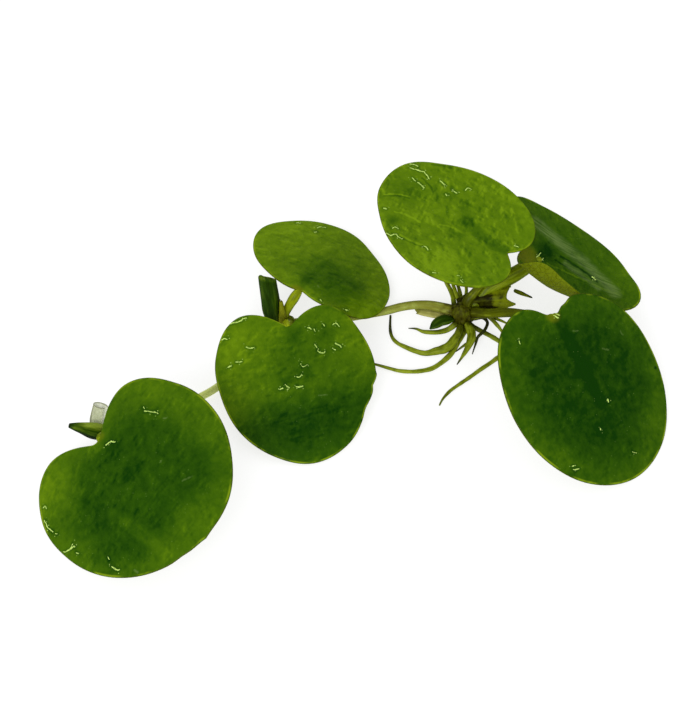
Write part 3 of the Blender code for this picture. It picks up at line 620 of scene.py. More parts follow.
def add_piece(name, bm, material, node):
    """Turns a closed bmesh into a piece that stands for its node and rides on the plant."""
    bmesh.ops.recalc_face_normals(bm, faces=bm.faces)
    if bm.calc_volume(signed=True) < 0:
        bmesh.ops.reverse_faces(bm, faces=bm.faces)
    mesh = bpy.data.meshes.new(name)
    bm.to_mesh(mesh)
    bm.free()
    mesh.materials.append(material)
    mesh.shade_smooth()
    piece = bpy.data.objects.new(name, mesh)
    bpy.context.scene.collection.objects.link(piece)
    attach(piece, BODY)
    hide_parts(node)


def bend(distance, turn):
    """Along and up, after a distance on an arc that turns by turn radians per millimetre."""
    return sin(turn * distance) / turn, (1 - cos(turn * distance)) / turn


def margin(leaf, theta):
    """Distance from the blade's centre to its margin, theta counter-clockwise from the tip."""
    reach = leaf["reach"]
    at = theta / (2 * pi) * len(reach) % len(reach)
    first = int(at // 1)
    around = [reach[(first + k) % len(reach)] for k in (-1, 0, 1, 2)]
    depth, width = leaf["notch"]
    away = abs((theta - radians(leaf["notch_at"]) + pi) % (2 * pi) - pi)
    edge = smooth_value(*around, at - first) - depth * exp(-((away / radians(width)) ** NOTCH_POWER))
    for angle, half_width, nick in leaf["nicks"]:
        aside = ((theta - radians(angle) + pi) % (2 * pi) - pi) / radians(half_width)
        edge -= nick * exp(-(aside**2))
    return edge


def blade_axes(leaf):
    """Along the midrib, to the left of it, and out of the upper face."""
    lean, toward, heading = (radians(leaf[k]) for k in ("lean", "toward", "heading"))
    up = Vector((sin(lean) * cos(toward), sin(lean) * sin(toward), cos(lean)))
    left = up.cross(Vector((cos(heading), sin(heading), 0.0))).normalized()
    return left.cross(up), left, up


def blade_surface(leaf, x, y):
    """The point of the upper face at a place on the blade, and its direction outwards."""
    along, left, up = blade_axes(leaf)
    side, curl = (left, leaf["curl"][0]) if y > 0 else (-left, leaf["curl"][1])
    arch_turn = radians(leaf["arch"]) / leaf["length"]
    curl_turn = radians(curl) / leaf["half_width"]
    forward, rise = bend(x, -arch_turn)
    across, lift = bend(abs(y), curl_turn)
    outward = sin(arch_turn * x) * along + cos(arch_turn * x) * up
    point = Vector(leaf["base"]) + forward * along + rise * up + across * side + lift * outward
    normal = cos(curl_turn * abs(y)) * outward - sin(curl_turn * abs(y)) * side
    return point, normal


def blade_point(leaf, share, theta, below, rim, waves):
    """A point of the blade: share of the way to the margin, on the upper (0) or lower (1) face."""
    reach = share * margin(leaf, theta)
    x = leaf["centre"] + reach * cos(theta)
    y = reach * sin(theta)
    point, normal = blade_surface(leaf, x, y)
    thickness = rim + (leaf["middle"] - rim) * (1 - share**2) ** 2
    turned = min(max(0.0, (share - ROUNDED_FROM) / (1 - ROUNDED_FROM)), 1.0)
    half = thickness / 2 * sqrt(1 - (ROUNDING * turned) ** 2)
    wave = waves * noise.noise(Vector((x / WAVE_LENGTH, y / WAVE_LENGTH, leaf["length"]))) * (1 - share**6)
    depth = thickness / 2 + (2 * below - 1) * half - wave
    return point - normal * depth, Vector((x, y, share))


def blade_mesh(leaf, rim, waves):
    """A closed blade: a disc of rings and spokes with a second face, laid on the leaf's surface."""
    inner = [ROUNDED_FROM * (i + 1) / RINGS for i in range(RINGS)]
    outer = [ROUNDED_FROM + (1 - ROUNDED_FROM) * sin(pi / 2 * (k + 1) / RIM_RINGS) for k in range(RIM_RINGS)]
    rings = inner + outer
    bm = bmesh.new()
    blade = bm.verts.layers.float_vector.new("blade")
    underside = bm.verts.layers.float.new("underside")
    bmesh.ops.create_circle(bm, cap_ends=True, cap_tris=True, segments=SPOKES, radius=rings[0])
    for previous, ring in zip(rings, rings[1:]):
        edge = [edge for edge in bm.edges if edge.is_boundary]
        grown = bmesh.ops.extrude_edge_only(bm, edges=edge)["geom"]
        verts = [part for part in grown if isinstance(part, bmesh.types.BMVert)]
        bmesh.ops.scale(bm, vec=Vector((ring / previous, ring / previous, 1.0)), verts=verts)
    lower = bmesh.ops.extrude_face_region(bm, geom=bm.faces[:])["geom"]
    lower = [part for part in lower if isinstance(part, bmesh.types.BMVert)]
    bmesh.ops.translate(bm, vec=Vector((0, 0, -1)), verts=lower)
    for vert in bm.verts:
        share = vert.co.xy.length
        theta = -Vector((1, 0)).angle_signed(vert.co.xy, 0.0) if share > 1e-6 else 0.0
        theta += CROWDING * sin(theta)
        below = -vert.co.z
        point, vert[blade] = blade_point(leaf, share, theta, below, rim, waves)
        vert[underside] = below
        vert.co = point * MM
    return bm


def stroke_distance(finish, flat, stroke):
    """Distance from a bowed stroke on a flat place, both in millimetres."""
    x1, y1, x2, y2, bow = stroke
    length = sqrt((x2 - x1) ** 2 + (y2 - y1) ** 2)
    turned = {"Vector": flat, "Location": (x1, y1, 0.0), "Rotation": (0.0, 0.0, atan2(y2 - y1, x2 - x1))}
    along, aside, _ = finish.split(finish.node("ShaderNodeMapping", dict(vector_type="TEXTURE"), turned))
    share = (along / length).within()
    past = along - share * length
    off = aside - share * (1 - share) * (4 * bow)
    return (past * past + off * off) ** 0.5


def place_distance(finish, flat, x, y):
    """Distance from one place."""
    return finish.vectors("DISTANCE", {0: flat, 1: (x, y, 0.0)}, "Value")


def main_veins(along, across, length):
    """Lines of the midrib and of the veins that arch from the notch to the tip, 1 on a vein."""
    aside = abs(across)
    squares = along * along + aside * aside
    angle = aside.maths("ARCTAN2", aside * length, squares - along * length)
    behind = along - length
    reach = (squares * (behind * behind + aside * aside)) ** 0.5 / length
    lines = aside.fade(*MIDRIB_LINE)
    for place in VEIN_ANGLES:
        lines = lines.most((abs(angle - place) * reach).fade(*VEIN_LINE) * VEIN_STRENGTH)
    return lines


def leaf_finish(name, leaf, look, colours):
    """Waxy leaf: tone from centre to margin, mottling, veins, wrinkles with painted glints and shade, a paler
    underside.
    """
    water = dict(Coat_Roughness=WATER_ROUGHNESS, Coat_IOR=WATER_IOR)
    finish = new_finish(f"leaf_{name}", Specular_IOR_Level=LEAF_GLOSS, **water)
    along, across, share = finish.split(finish.attribute("blade"))
    underside = finish.attribute("underside", "Fac")
    flat = finish.join(along, across, 0.0)
    soft = finish.grain(flat, 0.3)
    spots = finish.grain(flat, 0.95, 1.5)
    fine = finish.grain(finish.stretched(flat, (1.0, 1.6, 1.0)), 2.6)
    veins = main_veins(along, across, leaf["length"])
    net = finish.cells(flat, 0.75).fade(0.16, 0.0)

    mottling = (soft - 0.5) * 0.16 + (spots - 0.5) * 0.14 + (fine - 0.5) * 0.06
    tone = look["tone"] + share.fade(0.5, 1.0) * look["margin"] + mottling * look["mottle"]
    veins = veins * share.fade(1.0, 0.75)
    tone = tone - veins * (0.05 * look["veins"]) - net * (0.03 * look["veins"])
    # Painted light and shade on the small wrinkles: noise less a shifted copy of it, lighter on one side of
    # each wrinkle and darker on the other. It also goes into the bump.
    crumpled = finish.stretched(flat, (1.0, 0.75, 1.0))
    shifted = finish.vectors("ADD", {0: crumpled, 1: (0.11, 0.11, 0.0)})
    wrinkle_shade_and_bump = finish.grain(shifted, 0.85, 1.5) - finish.grain(crumpled, 0.85, 1.5)
    wrinkle_shade_and_bump = wrinkle_shade_and_bump * finish.grain(flat, 0.42).fade(0.3, 0.75) * (look["crumple"] * (1 - underside))
    tone = tone + wrinkle_shade_and_bump * 0.9
    for x, y, radius, amount in look["patches"]:
        tone = tone + place_distance(finish, flat, x, y).fade(radius * 1.25, 0.0) * amount
    wobble = finish.node("ShaderNodeTexNoise", {}, {"Vector": flat, "Scale": 1.3}, "Color")
    shaken = finish.vectors("MULTIPLY_ADD", {0: wobble, 1: (0.5, 0.5, 0.0), 2: flat})
    shaken = finish.vectors("SUBTRACT", {0: shaken, 1: (0.25, 0.25, 0.0)})
    for *stroke, half_width, amount in look["streaks"]:
        tone = tone + stroke_distance(finish, shaken, stroke).fade(half_width, half_width * 0.3) * amount
    # Painted highlights: thin pale lines on the wrinkles and sparkle dots round them, painted into the
    # colour; they also get a wet coat.
    nearest = FAR_AWAY
    for stroke in look["painted_glints"]:
        nearest = stroke_distance(finish, shaken, stroke).least(nearest)
    broken = finish.grain(flat, 1.7)
    painted_glint = (nearest + (broken - 0.5) * 0.1).fade(0.11, 0.03) * (0.3 + broken).within()
    painted_sparkles = finish.cells(flat, 1.9, "F1")
    painted_glint = painted_glint.most(painted_sparkles.fade(0.2, 0.08) * nearest.fade(0.7, 0.3) * broken.fade(0.5, 0.85) * 0.6)
    painted_glint = painted_glint.most(painted_sparkles.fade(0.12, 0.05) * soft.fade(0.55, 0.8) * broken.fade(0.6, 0.9) * 0.14)
    painted_glint = painted_glint * (1 - underside)
    # Painted shade: a darker band beside each glint, the shaded side of its wrinkle.
    tone = tone - nearest.fade(0.5, 0.12) * 0.2

    greens = (colours.deep, colours.dark, colours.middle, colours.light, colours.pale)
    upper = finish.colours(tone, list(zip(TONE_STOPS, greens)))
    drawn = finish.grain(finish.stretched(flat, (0.22, 2.4, 1.0)), 1.4, 3.0)
    # Painted sheen: a greyish reflection painted into the colour along the sheen streaks.
    painted_sheen = 0.0
    for *stroke, half_width, amount in look["sheen"]:
        band = stroke_distance(finish, shaken, stroke).fade(half_width, half_width * 0.2) * amount
        painted_sheen = band.most(painted_sheen)
    if look["sheen"]:
        painted_sheen = painted_sheen * (0.15 + drawn * 0.85)
        upper = finish.mix(painted_sheen, upper, colours.painted_sheen)
    x, y, radius, strength = look["foot"]
    foot = place_distance(finish, flat, x, y).fade(radius, radius * 0.4) * (0.6 + spots * 0.4) * strength
    upper = finish.mix(foot, upper, colours.foot)
    patchy = finish.grain(flat, 0.35)
    # Painted highlight: a thin light line just inside the margin, where the edge catches the light.
    painted_rim_light = share.fade(0.97, 0.985) * share.fade(1.0, 0.99) * patchy.fade(0.3, 0.8) * look["rim"]
    upper = finish.mix(painted_rim_light, upper, colours.painted_rim_highlight)
    upper = finish.mix(share.fade(0.99, 0.998) * patchy.fade(0.8, 0.3) * 0.7, upper, colours.rim_shade)
    upper = finish.mix(painted_glint, upper, colours.painted_glint)

    sponge = finish.cells(flat, 1.1).fade(0.0, 0.2)
    lower_tone = 0.1 + sponge * 0.2 + share.fade(0.8, 0.1) * 0.4 + (spots - 0.5) * 0.4 - veins * 0.2
    lower = finish.mix(lower_tone, colours.underside, colours.sponge)
    finish.feed("Coat Weight", painted_glint * 0.7)
    roughness = 0.34 + (fine - 0.5) * 0.16 - painted_glint * 0.2 + underside * 0.2
    ridges = 0.5 + (spots - 0.5) * 0.3 + (fine - 0.5) * 0.12 - veins * 0.2 - net * 0.1 + painted_glint * 0.3
    ridges = (ridges + wrinkle_shade_and_bump) * (1 - underside) + (sponge * 0.6 + veins * 0.4) * underside
    return finish.finished(finish.mix(underside, upper, lower), roughness, ridges, colours.relief / MM)


def tube_mesh(tube, sides, lumps=0.0):
    """A tube with two attributes: run, its own millimetres, and along, the share of its length."""
    bm = bmesh.new()
    bm.verts.layers.float_vector.new("run")
    bm.verts.layers.float.new("along")
    tube_into(bm, tube["route"], tube["radii"], sides, lumps, 0.0)
    return bm


def tube_into(bm, route, radii, sides, lumps, begin):
    """Adds a closed tube with rounded ends, whose attribute along goes from begin to 1."""
    run = bm.verts.layers.float_vector["run"]
    along = bm.verts.layers.float["along"]
    line = line_through(route)
    length = line[1][-1]
    first, last = radii[0], radii[-1]
    steps = max(FEWEST_STEPS, round((length - first - last) / STEP))
    stations = [(first * (1 - cos(radians(a))), sin(radians(a))) for a in CAP_TURNS]
    stations += [(first + (length - first - last) * i / steps, 1.0) for i in range(steps + 1)]
    stations += [(length - last * (1 - cos(radians(a))), sin(radians(a))) for a in reversed(CAP_TURNS)]
    rings = []
    for distance, share in stations:
        point, ahead = place_along(line, distance)
        level = ahead.cross(Vector((0, 0, 1)))
        aside = (Vector((1, 0, 0)) - ahead * ahead.x if level.length < UPRIGHT else level).normalized()
        over = aside.cross(ahead)
        radius = through(radii, distance / length) * share
        radius *= 1 + lumps * noise.noise(point * LUMP_SCALE)
        frame_here = Matrix((aside, over, ahead)).transposed().to_4x4()
        frame_here.translation = point
        verts = bmesh.ops.create_circle(bm, segments=sides, radius=radius, matrix=frame_here)["verts"]
        for vert in verts:
            outwards = vert.co - point
            vert[run] = Vector((distance, outwards.dot(aside), outwards.dot(over)))
            vert[along] = begin + (1 - begin) * distance / length
            vert.co *= MM
        rings.append(list({edge for vert in verts for edge in vert.link_edges}))
    for near, far in zip(rings, rings[1:]):
        bmesh.ops.bridge_loops(bm, edges=near + far)
    bmesh.ops.edgeloop_fill(bm, edges=rings[0])
    bmesh.ops.edgeloop_fill(bm, edges=rings[-1])


def fibrous(name, gloss, coarse, fine):
    """A finish, its broad and thin streaks along the piece, around 0, and the share of the piece's length."""
    finish = new_finish(name, Specular_IOR_Level=gloss)
    run = finish.attribute("run")
    broad = finish.grain(finish.stretched(run, BROAD_STRETCH), coarse)
    thin = finish.grain(finish.stretched(run, THIN_STRETCH), fine)
    return finish, broad - 0.5, thin - 0.5, finish.attribute("along", "Fac")


def stalk_finish(name, base, tip, shade, bright, dark_to, colours):
    """Smooth watery stalk with fine fibres, a change of colour along it and a dark foot."""
    finish, broad, thin, along = fibrous(name, STEM_GLOSS, 1.4, 3.4)
    blotch = finish.grain(finish.object_place(), 0.7) - 0.5
    colour = finish.mix((along + blotch * 0.2).within(), base, tip)
    light = (0.5 + broad * 0.7 + thin * 0.5 + blotch * 0.3).within()
    colour = finish.mix(light.fade(0.5, 0.15) * 0.45, colour, shade)
    colour = finish.mix(light.fade(0.6, 1.0) * 0.5, colour, bright)
    colour = finish.mix((along + blotch * 0.1).fade(dark_to, 0.0) * 0.7, colour, colours.crown)
    return finish.finished(colour, 0.32 + thin * 0.14, 0.5 + broad * 0.5 + thin * 0.4, STEM_DEPTH)


def root_finish(name, tip_from, colours):
    """Olive root with pale fibres, darker patches and a dark tip."""
    finish, broad, thin, along = fibrous(name, STEM_GLOSS, 2.0, 5.0)
    blotch = finish.grain(finish.object_place(), 0.9, 3.0) - 0.5
    light = (0.5 + broad * 0.4 + thin * 0.35 + blotch * 0.5).within()
    stops = ((0.0, colours.root_shade), (0.4, colours.root), (0.75, colours.root_light))
    colour = finish.colours(light, stops)
    colour = finish.mix((along + blotch * 0.1).fade(0.2, 0.02) * 0.7, colour, colours.crown)
    dark = (along + blotch * 0.12).fade(tip_from, tip_from + 0.2)
    colour = finish.mix(dark * 0.92, colour, colours.root_tip)
    return finish.finished(colour, 0.4 + thin * 0.2, 0.5 + broad * 0.5 + blotch * 0.6, STEM_DEPTH)


def crown_finish(name, stops):
    """Dark olive-brown knot with fibres that run up it and paler scars."""
    finish = new_finish(name, Specular_IOR_Level=STEM_GLOSS)
    place = finish.object_place()
    upright = finish.grain(finish.stretched(place, (1.0, 1.0, 0.25)), 2.2, 3.0)
    lumps = finish.grain(place, 1.1, 3.0)
    colour = finish.colours((upright * 0.6 + lumps * 0.5).within(), stops)
    return finish.finished(colour, 0.4 + lumps * 0.2, upright * 0.6 + lumps * 0.4, CROWN_DEPTH)


def curl_mesh(curl):
    """A closed thin sheet, curled round a centre line."""
    bm = bmesh.new()
    run = bm.verts.layers.float_vector.new("run")
    along = bm.verts.layers.float.new("along")
    line = line_through(curl["route"])
    length = line[1][-1]
    first, last = curl["arc"]
    strips = []
    for k in range(CURL_STRIPS + 1):
        turn = first + (last - first) * k / CURL_STRIPS
        angle = radians(turn)
        end = min(through(curl["ends"], k / CURL_STRIPS), 1.0)
        narrowed = 1 - curl["inwards"] * (turn - first) / 360
        strip = []
        for i in range(CURL_STEPS + 1):
            share = i / CURL_STEPS * end
            point, ahead = place_along(line, share * length)
            aside = Vector(curl["across"])
            aside = (aside - ahead * aside.dot(ahead)).normalized()
            over = aside.cross(ahead)
            if over.y + over.z < 0:
                over = -over
            radius = through(curl["radii"], share) * narrowed
            outwards = radius * (cos(angle) * aside + curl["flat"] * sin(angle) * over)
            vert = bm.verts.new((point + outwards) * MM)
            vert[run] = Vector((share * length, radius * cos(angle), radius * sin(angle)))
            vert[along] = share / end
            strip.append(vert)
        strips.append([bm.edges.new(pair) for pair in zip(strip, strip[1:])])
    for near, far in zip(strips, strips[1:]):
        bmesh.ops.bridge_loops(bm, edges=near + far)
    bmesh.ops.recalc_face_normals(bm, faces=bm.faces)
    bmesh.ops.solidify(bm, geom=bm.faces[:], thickness=curl["wall"] * MM)
    return bm


def young_leaf_finish(name, level, painted_light_sideways, painted_light_over, end_light, colours):
    """Rolled blade with long streaks, painted lighter on one side than on the other, and with an end of its
    own.
    """
    finish, broad, thin, along = fibrous(name, STEM_GLOSS, 1.1, 3.0)
    _, sideways, over = finish.split(finish.attribute("run"))
    # Painted light and shade: over and sideways make one side of the roll lighter and the other darker.
    lit = level + over * painted_light_over + sideways * painted_light_sideways + broad * 0.5 + thin * 0.3
    lit = (lit + along.fade(0.9, 1.0) * end_light).within()
    greens = (colours.young_shade, colours.young, colours.young_light, colours.young_pale)
    colour = finish.colours(lit, list(zip(YOUNG_STOPS, greens)))
    return finish.finished(colour, 0.34 + thin * 0.2, 0.5 + broad * 0.6 + thin * 0.4, STEM_DEPTH)


def sheath_finish(name, dark, light, edge, alpha, with_painted_shade=False):
    """Thin papery sheath: long streaks, blotches, an edge of another colour, a little see-through, and
    painted shade when asked.
    """
    finish, broad, thin, along = fibrous(name, SHEATH_GLOSS, 1.2, 3.4)
    run = finish.attribute("run")
    distance, back, up = finish.split(run)
    blotch = finish.grain(finish.object_place(), 0.8, 3.0) - 0.5
    lit = (0.5 + broad * 0.8 + thin * 0.4 + blotch * 0.5).within()
    if with_painted_shade:
        # Painted shade: the lower side of the sheath is darkened along most of its length, as if in shadow.
        low = (back * 0.82 + up * 0.57 + blotch * 0.8).fade(1.5, 0.4)
        painted_shade = low * (distance + blotch * 3).fade(6.8, 4.4)
        lit = (lit * 0.6 + 0.45 - painted_shade * 0.75).within()
    colour = finish.mix(lit, dark, light)
    rolled = along.fade(0.92, 1.0)
    if alpha < 1:
        cracks = finish.cells(run, 1.5).fade(0.12, 0.02)
        colour = finish.mix(cracks * 0.16, colour, edge)
        rolled = rolled.most(back.fade(-0.8, -1.05))
    colour = finish.mix(rolled * 0.8, colour, edge)
    finish.feed("Alpha", (alpha + rolled * 0.35 - broad * 0.2).within())
    return finish.finished(colour, 0.42 + thin * 0.2, 0.5 + broad * 0.6 + thin * 0.4, SHEATH_DEPTH)


def crown_mesh(crown):
    """A knobbly knot, cut off flat where it rests."""
    bm = bmesh.new()
    bmesh.ops.create_icosphere(bm, subdivisions=CROWN_FINENESS, radius=1.0)
    for vert in bm.verts:
        around = CROWN_RIBS * atan2(vert.co.y, vert.co.x) + 4 * noise.noise(vert.co * 1.5)
        ribs = RIB_HEIGHT * sin(around) * (1 - abs(vert.co.z))
        vert.co *= 1 + ribs + sum(height * noise.noise(vert.co * scale) for scale, height in KNOBS)
    stretch = Matrix.Diagonal(Vector(crown["half"]) * MM).to_4x4()
    place = Matrix.Translation(Vector(crown["centre"]) * MM) @ stretch
    bmesh.ops.transform(bm, matrix=place, verts=bm.verts)
    everything = bm.verts[:] + bm.edges[:] + bm.faces[:]
    below = dict(plane_co=(0, 0, 0), plane_no=(0, 0, -1), clear_outer=True)
    cut = bmesh.ops.bisect_plane(bm, geom=everything, **below)["geom_cut"]
    bmesh.ops.edgeloop_fill(bm, edges=[part for part in cut if isinstance(part, bmesh.types.BMEdge)])
    return bm


def colour_setting(name, description, colour):
    """A colour that the user can change."""
    limits = dict(size=3, min=0, max=1)
    return FloatVectorProperty(name=name, description=description, default=colour, subtype="COLOR", **limits)


def length_setting(name, description, length):
    """A length that the user can change."""
    return FloatProperty(name=name, description=description, default=length, unit="LENGTH", precision=5)


class LeafSettings(bpy.types.PropertyGroup):
    """Sizes and colours of the open leaf blades."""

    rim: length_setting("Rim", "Thickness of the blade at its margin", 0.0003)
    waves: length_setting("Waves", "Height of the low waves in the blade", 0.0002)
    relief: length_setting("Relief", "Depth of the veins and wrinkles", 0.00012)
    deep: colour_setting("Deep", "Darkest green, along the midrib", (0.004, 0.033, 0.0003))
    dark: colour_setting("Dark", "Green of the middle of the blade", (0.021, 0.07, 0.0004))
    middle: colour_setting("Middle", "Green between middle and margin", (0.052, 0.12, 0.0006))
    light: colour_setting("Light", "Yellow-green of the margin", (0.092, 0.175, 0.001))
    pale: colour_setting("Pale", "Palest yellow-green", (0.145, 0.25, 0.003))
    # Colour of the painted sheen, a greyish reflection on the folded leaf.
    painted_sheen: colour_setting("Bloom", "Greyish sheen on the folded leaf", (0.13, 0.2, 0.05))
    foot: colour_setting("Foot", "Olive of the notch, where the stalk joins", (0.14, 0.16, 0.002))
    # Colour of the painted light line round the margin.
    painted_rim_highlight: colour_setting("Rim line", "Thin light line round the margin", (0.2, 0.28, 0.006))
    rim_shade: colour_setting("Rim shade", "Brownish edge of the margin", (0.06, 0.06, 0.003))
    # Colour of the painted highlights on the wet wrinkles.
    painted_glint: colour_setting("Glint", "Crests of the wet wrinkles", (0.64, 0.88, 0.2))
    underside: colour_setting("Underside", "Yellow-green of the lower face", (0.11, 0.14, 0.0008))
    sponge: colour_setting("Sponge", "Pale spongy cells of the lower face", (0.15, 0.2, 0.005))


class StemSettings(bpy.types.PropertyGroup):
    """Colours of the crowns, stalks, runners and roots."""

    stalk: colour_setting("Stalk", "Front and top stalk of the mother plant", (0.087, 0.107, 0.001))
    back_stalk: colour_setting("Back stalk", "Lighter stalk of the folded leaf", (0.16, 0.22, 0.002))
    young_stalk: colour_setting("Plantlet stalk", "Stalks of the plantlets", (0.23, 0.29, 0.003))
    stalk_shade: colour_setting("Stalk shade", "Darker fibres of a stalk", (0.035, 0.045, 0.0005))
    stalk_light: colour_setting("Stalk light", "Lighter fibres of a stalk", (0.28, 0.34, 0.015))
    runner_shade: colour_setting("Runner shade", "Darker fibres of the near runner", (0.12, 0.13, 0.006))
    runner_olive: colour_setting("Runner olive", "Runner near the mother crown", (0.19, 0.19, 0.016))
    runner_pale: colour_setting("Runner pale", "Runner towards the plantlets", (0.38, 0.45, 0.09))
    runner_far: colour_setting("Far runner", "Runner between the plantlets", (0.62, 0.7, 0.2))
    runner_light: colour_setting("Runner light", "Lighter fibres of the far runner", (0.8, 0.86, 0.4))
    root: colour_setting("Root", "Olive green of the roots", (0.13, 0.17, 0.003))
    root_light: colour_setting("Root light", "Lighter fibres of the roots", (0.22, 0.27, 0.012))
    root_shade: colour_setting("Root shade", "Darker patches of the roots", (0.07, 0.082, 0.001))
    root_tip: colour_setting("Root tip", "Dark ends of the roots", (0.016, 0.018, 0.006))
    crown: colour_setting("Crown", "Dark brown of the crowns", (0.016, 0.013, 0.0005))
    crown_light: colour_setting("Crown light", "Olive of the crowns", (0.064, 0.068, 0.001))


class CurlSettings(bpy.types.PropertyGroup):
    """Colours of the rolled leaves, the scale leaf and the sheaths."""

    young_shade: colour_setting("Young shade", "Darkest green of the rolled leaves", (0.005, 0.014, 0.0002))
    young: colour_setting("Young", "Green of the rolled leaves", (0.018, 0.05, 0.0006))
    young_light: colour_setting("Young light", "Lighter streaks of the rolled leaves", (0.07, 0.12, 0.003))
    young_pale: colour_setting("Young pale", "Yellow-green of the rolled leaves", (0.2, 0.28, 0.02))
    # Sheath dark is also the colour of the painted shade on the mother's sheath.
    sheath_dark: colour_setting("Sheath dark", "Dark brown of the mother's sheath", (0.014, 0.013, 0.0003))
    sheath_light: colour_setting("Sheath light", "Olive of the mother's sheath", (0.19, 0.23, 0.003))
    pale_dark: colour_setting("Pale shade", "Streaks of the near plantlet's sheath", (0.13, 0.14, 0.003))
    pale_light: colour_setting("Pale sheath", "Yellow-green of that sheath", (0.25, 0.27, 0.01))
    clear_dark: colour_setting("Clear shade", "Streaks of the far plantlet's sheath", (0.55, 0.58, 0.38))
    clear_light: colour_setting("Clear sheath", "Whitish colour of that sheath", (0.78, 0.81, 0.55))
    clear_edge: colour_setting("Clear sheath edge", "Its darker free edge", (0.15, 0.16, 0.08))
    bract_dark: colour_setting("Scale shade", "Olive streaks of the scale leaf", (0.18, 0.185, 0.02))
    bract_light: colour_setting("Scale", "Pale brownish olive of the scale leaf", (0.45, 0.43, 0.13))
    shred: colour_setting("Shred", "Dark olive of the torn shred", (0.02, 0.028, 0.004))


class StageSettings(bpy.types.PropertyGroup):
    """The floor, the light and the camera."""

    floor: colour_setting("Floor", "Plain pale floor", (0.3, 0.3, 0.3))
    glow: FloatProperty(name="Glow", description="Light that the floor itself gives off", default=0.75)
    sky: FloatProperty(name="Sky", description="Strength of the light from all around", default=0.95, min=0)
    gloss_sky: FloatProperty(
        name="Reflected sky", description="Strength of the surroundings in reflections", default=0.12, min=0)
    lamp: FloatProperty(name="Lamp", description="Power of the soft lamp", default=2.2, unit="POWER", min=0)
    elevation: FloatProperty(
        name="Elevation", description="Angle at which the view looks down", default=radians(55),
        unit="ROTATION")
    distance: length_setting("Distance", "Camera to plant", 0.35)
    look_at: FloatVectorProperty(
        name="Look at", description="Point in the middle of the view", default=(-0.0158, -0.0053, 0.0),
        size=3, subtype="TRANSLATION", unit="LENGTH")
    view_width: length_setting("View width", "Width that the camera sees at the plant", 0.098)


class FROGBIT_OT_leaves(bpy.types.Operator):
    """Makes the six open leaf blades"""

    bl_idname = "frogbit.leaves"
    bl_label = "Leaf blades"

    def execute(self, context):
        settings = context.scene.frogbit_leaves
        for name, leaf in LEAVES.items():
            bm = blade_mesh(leaf, settings.rim / MM, settings.waves / MM)
            material = leaf_finish(name, leaf, LOOKS[name], settings)
            add_piece(f"blade_{name}", bm, material, f"leaf_{name}")
        return {"FINISHED"}


class FROGBIT_OT_crowns(bpy.types.Operator):
    """Makes the three crowns"""

    bl_idname = "frogbit.crowns"
    bl_label = "Crowns"

    def execute(self, context):
        colours = context.scene.frogbit_stems
        browns = ((0.15, colours.crown), (0.65, colours.crown_light), (1.0, colours.stalk))
        dark = crown_finish("crown", browns)
        light = crown_finish("plantlet_crown", ((0.0, colours.root_shade), (0.7, colours.root)))
        for name, crown in CROWNS.items():
            material = dark if name == "mother" else light
            add_piece(f"knot_{name}", crown_mesh(crown), material, f"crown_{name}")
        return {"FINISHED"}


class FROGBIT_OT_stalks(bpy.types.Operator):
    """Makes the leaf stalks"""

    bl_idname = "frogbit.stalks"
    bl_label = "Leaf stalks"

    def execute(self, context):
        colours = context.scene.frogbit_stems

        def one_green(name, green, dark_to):
            fibre_colours = (colours.stalk_shade, colours.stalk_light)
            return stalk_finish(name, green, green, *fibre_colours, dark_to, colours)

        dark = one_green("stalk", colours.stalk, 0.3)
        back = one_green("back_stalk", colours.back_stalk, 0.2)
        young = one_green("plantlet_stalk", colours.young_stalk, 0.12)
        finishes = {"mother_back": back, "second_front": young, "second_back": young, "third": back}
        for name, stalk in STALKS.items():
            bm = tube_mesh(stalk, STEM_SIDES)
            add_piece(f"stem_{name}", bm, finishes.get(name, dark), f"stalk_{name}")
        return {"FINISHED"}


class FROGBIT_OT_runners(bpy.types.Operator):
    """Makes the two runners"""

    bl_idname = "frogbit.runners"
    bl_label = "Runners"

    def execute(self, context):
        colours = context.scene.frogbit_stems
        olive, pale, far = colours.runner_olive, colours.runner_pale, colours.runner_far
        shade, bright = colours.runner_shade, colours.runner_light
        finishes = {
            "mother_to_second": stalk_finish("runner", olive, pale, shade, pale, 0.08, colours),
            "second_to_third": stalk_finish("far_runner", far, far, far, bright, 0.02, colours),
        }
        for name, runner in RUNNERS.items():
            bm = tube_mesh(runner, STEM_SIDES)
            add_piece(f"stolon_{name}", bm, finishes[name], f"runner_{name}")
        return {"FINISHED"}


class FROGBIT_OT_roots(bpy.types.Operator):
    """Makes the roots"""

    bl_idname = "frogbit.roots"
    bl_label = "Roots"

    def execute(self, context):
        colours = context.scene.frogbit_stems
        for name, root in ROOTS.items():
            bm = tube_mesh(root, ROOT_SIDES, ROOT_LUMPS)
            if "twig" in root:
                tube_into(bm, root["twig"], root["twig_radii"], ROOT_SIDES, ROOT_LUMPS, TWIG_BEGIN)
            material = root_finish(f"root_{name}", root["tip_from"], colours)
            add_piece(f"fibre_{name}", bm, material, f"root_{name}")
        return {"FINISHED"}


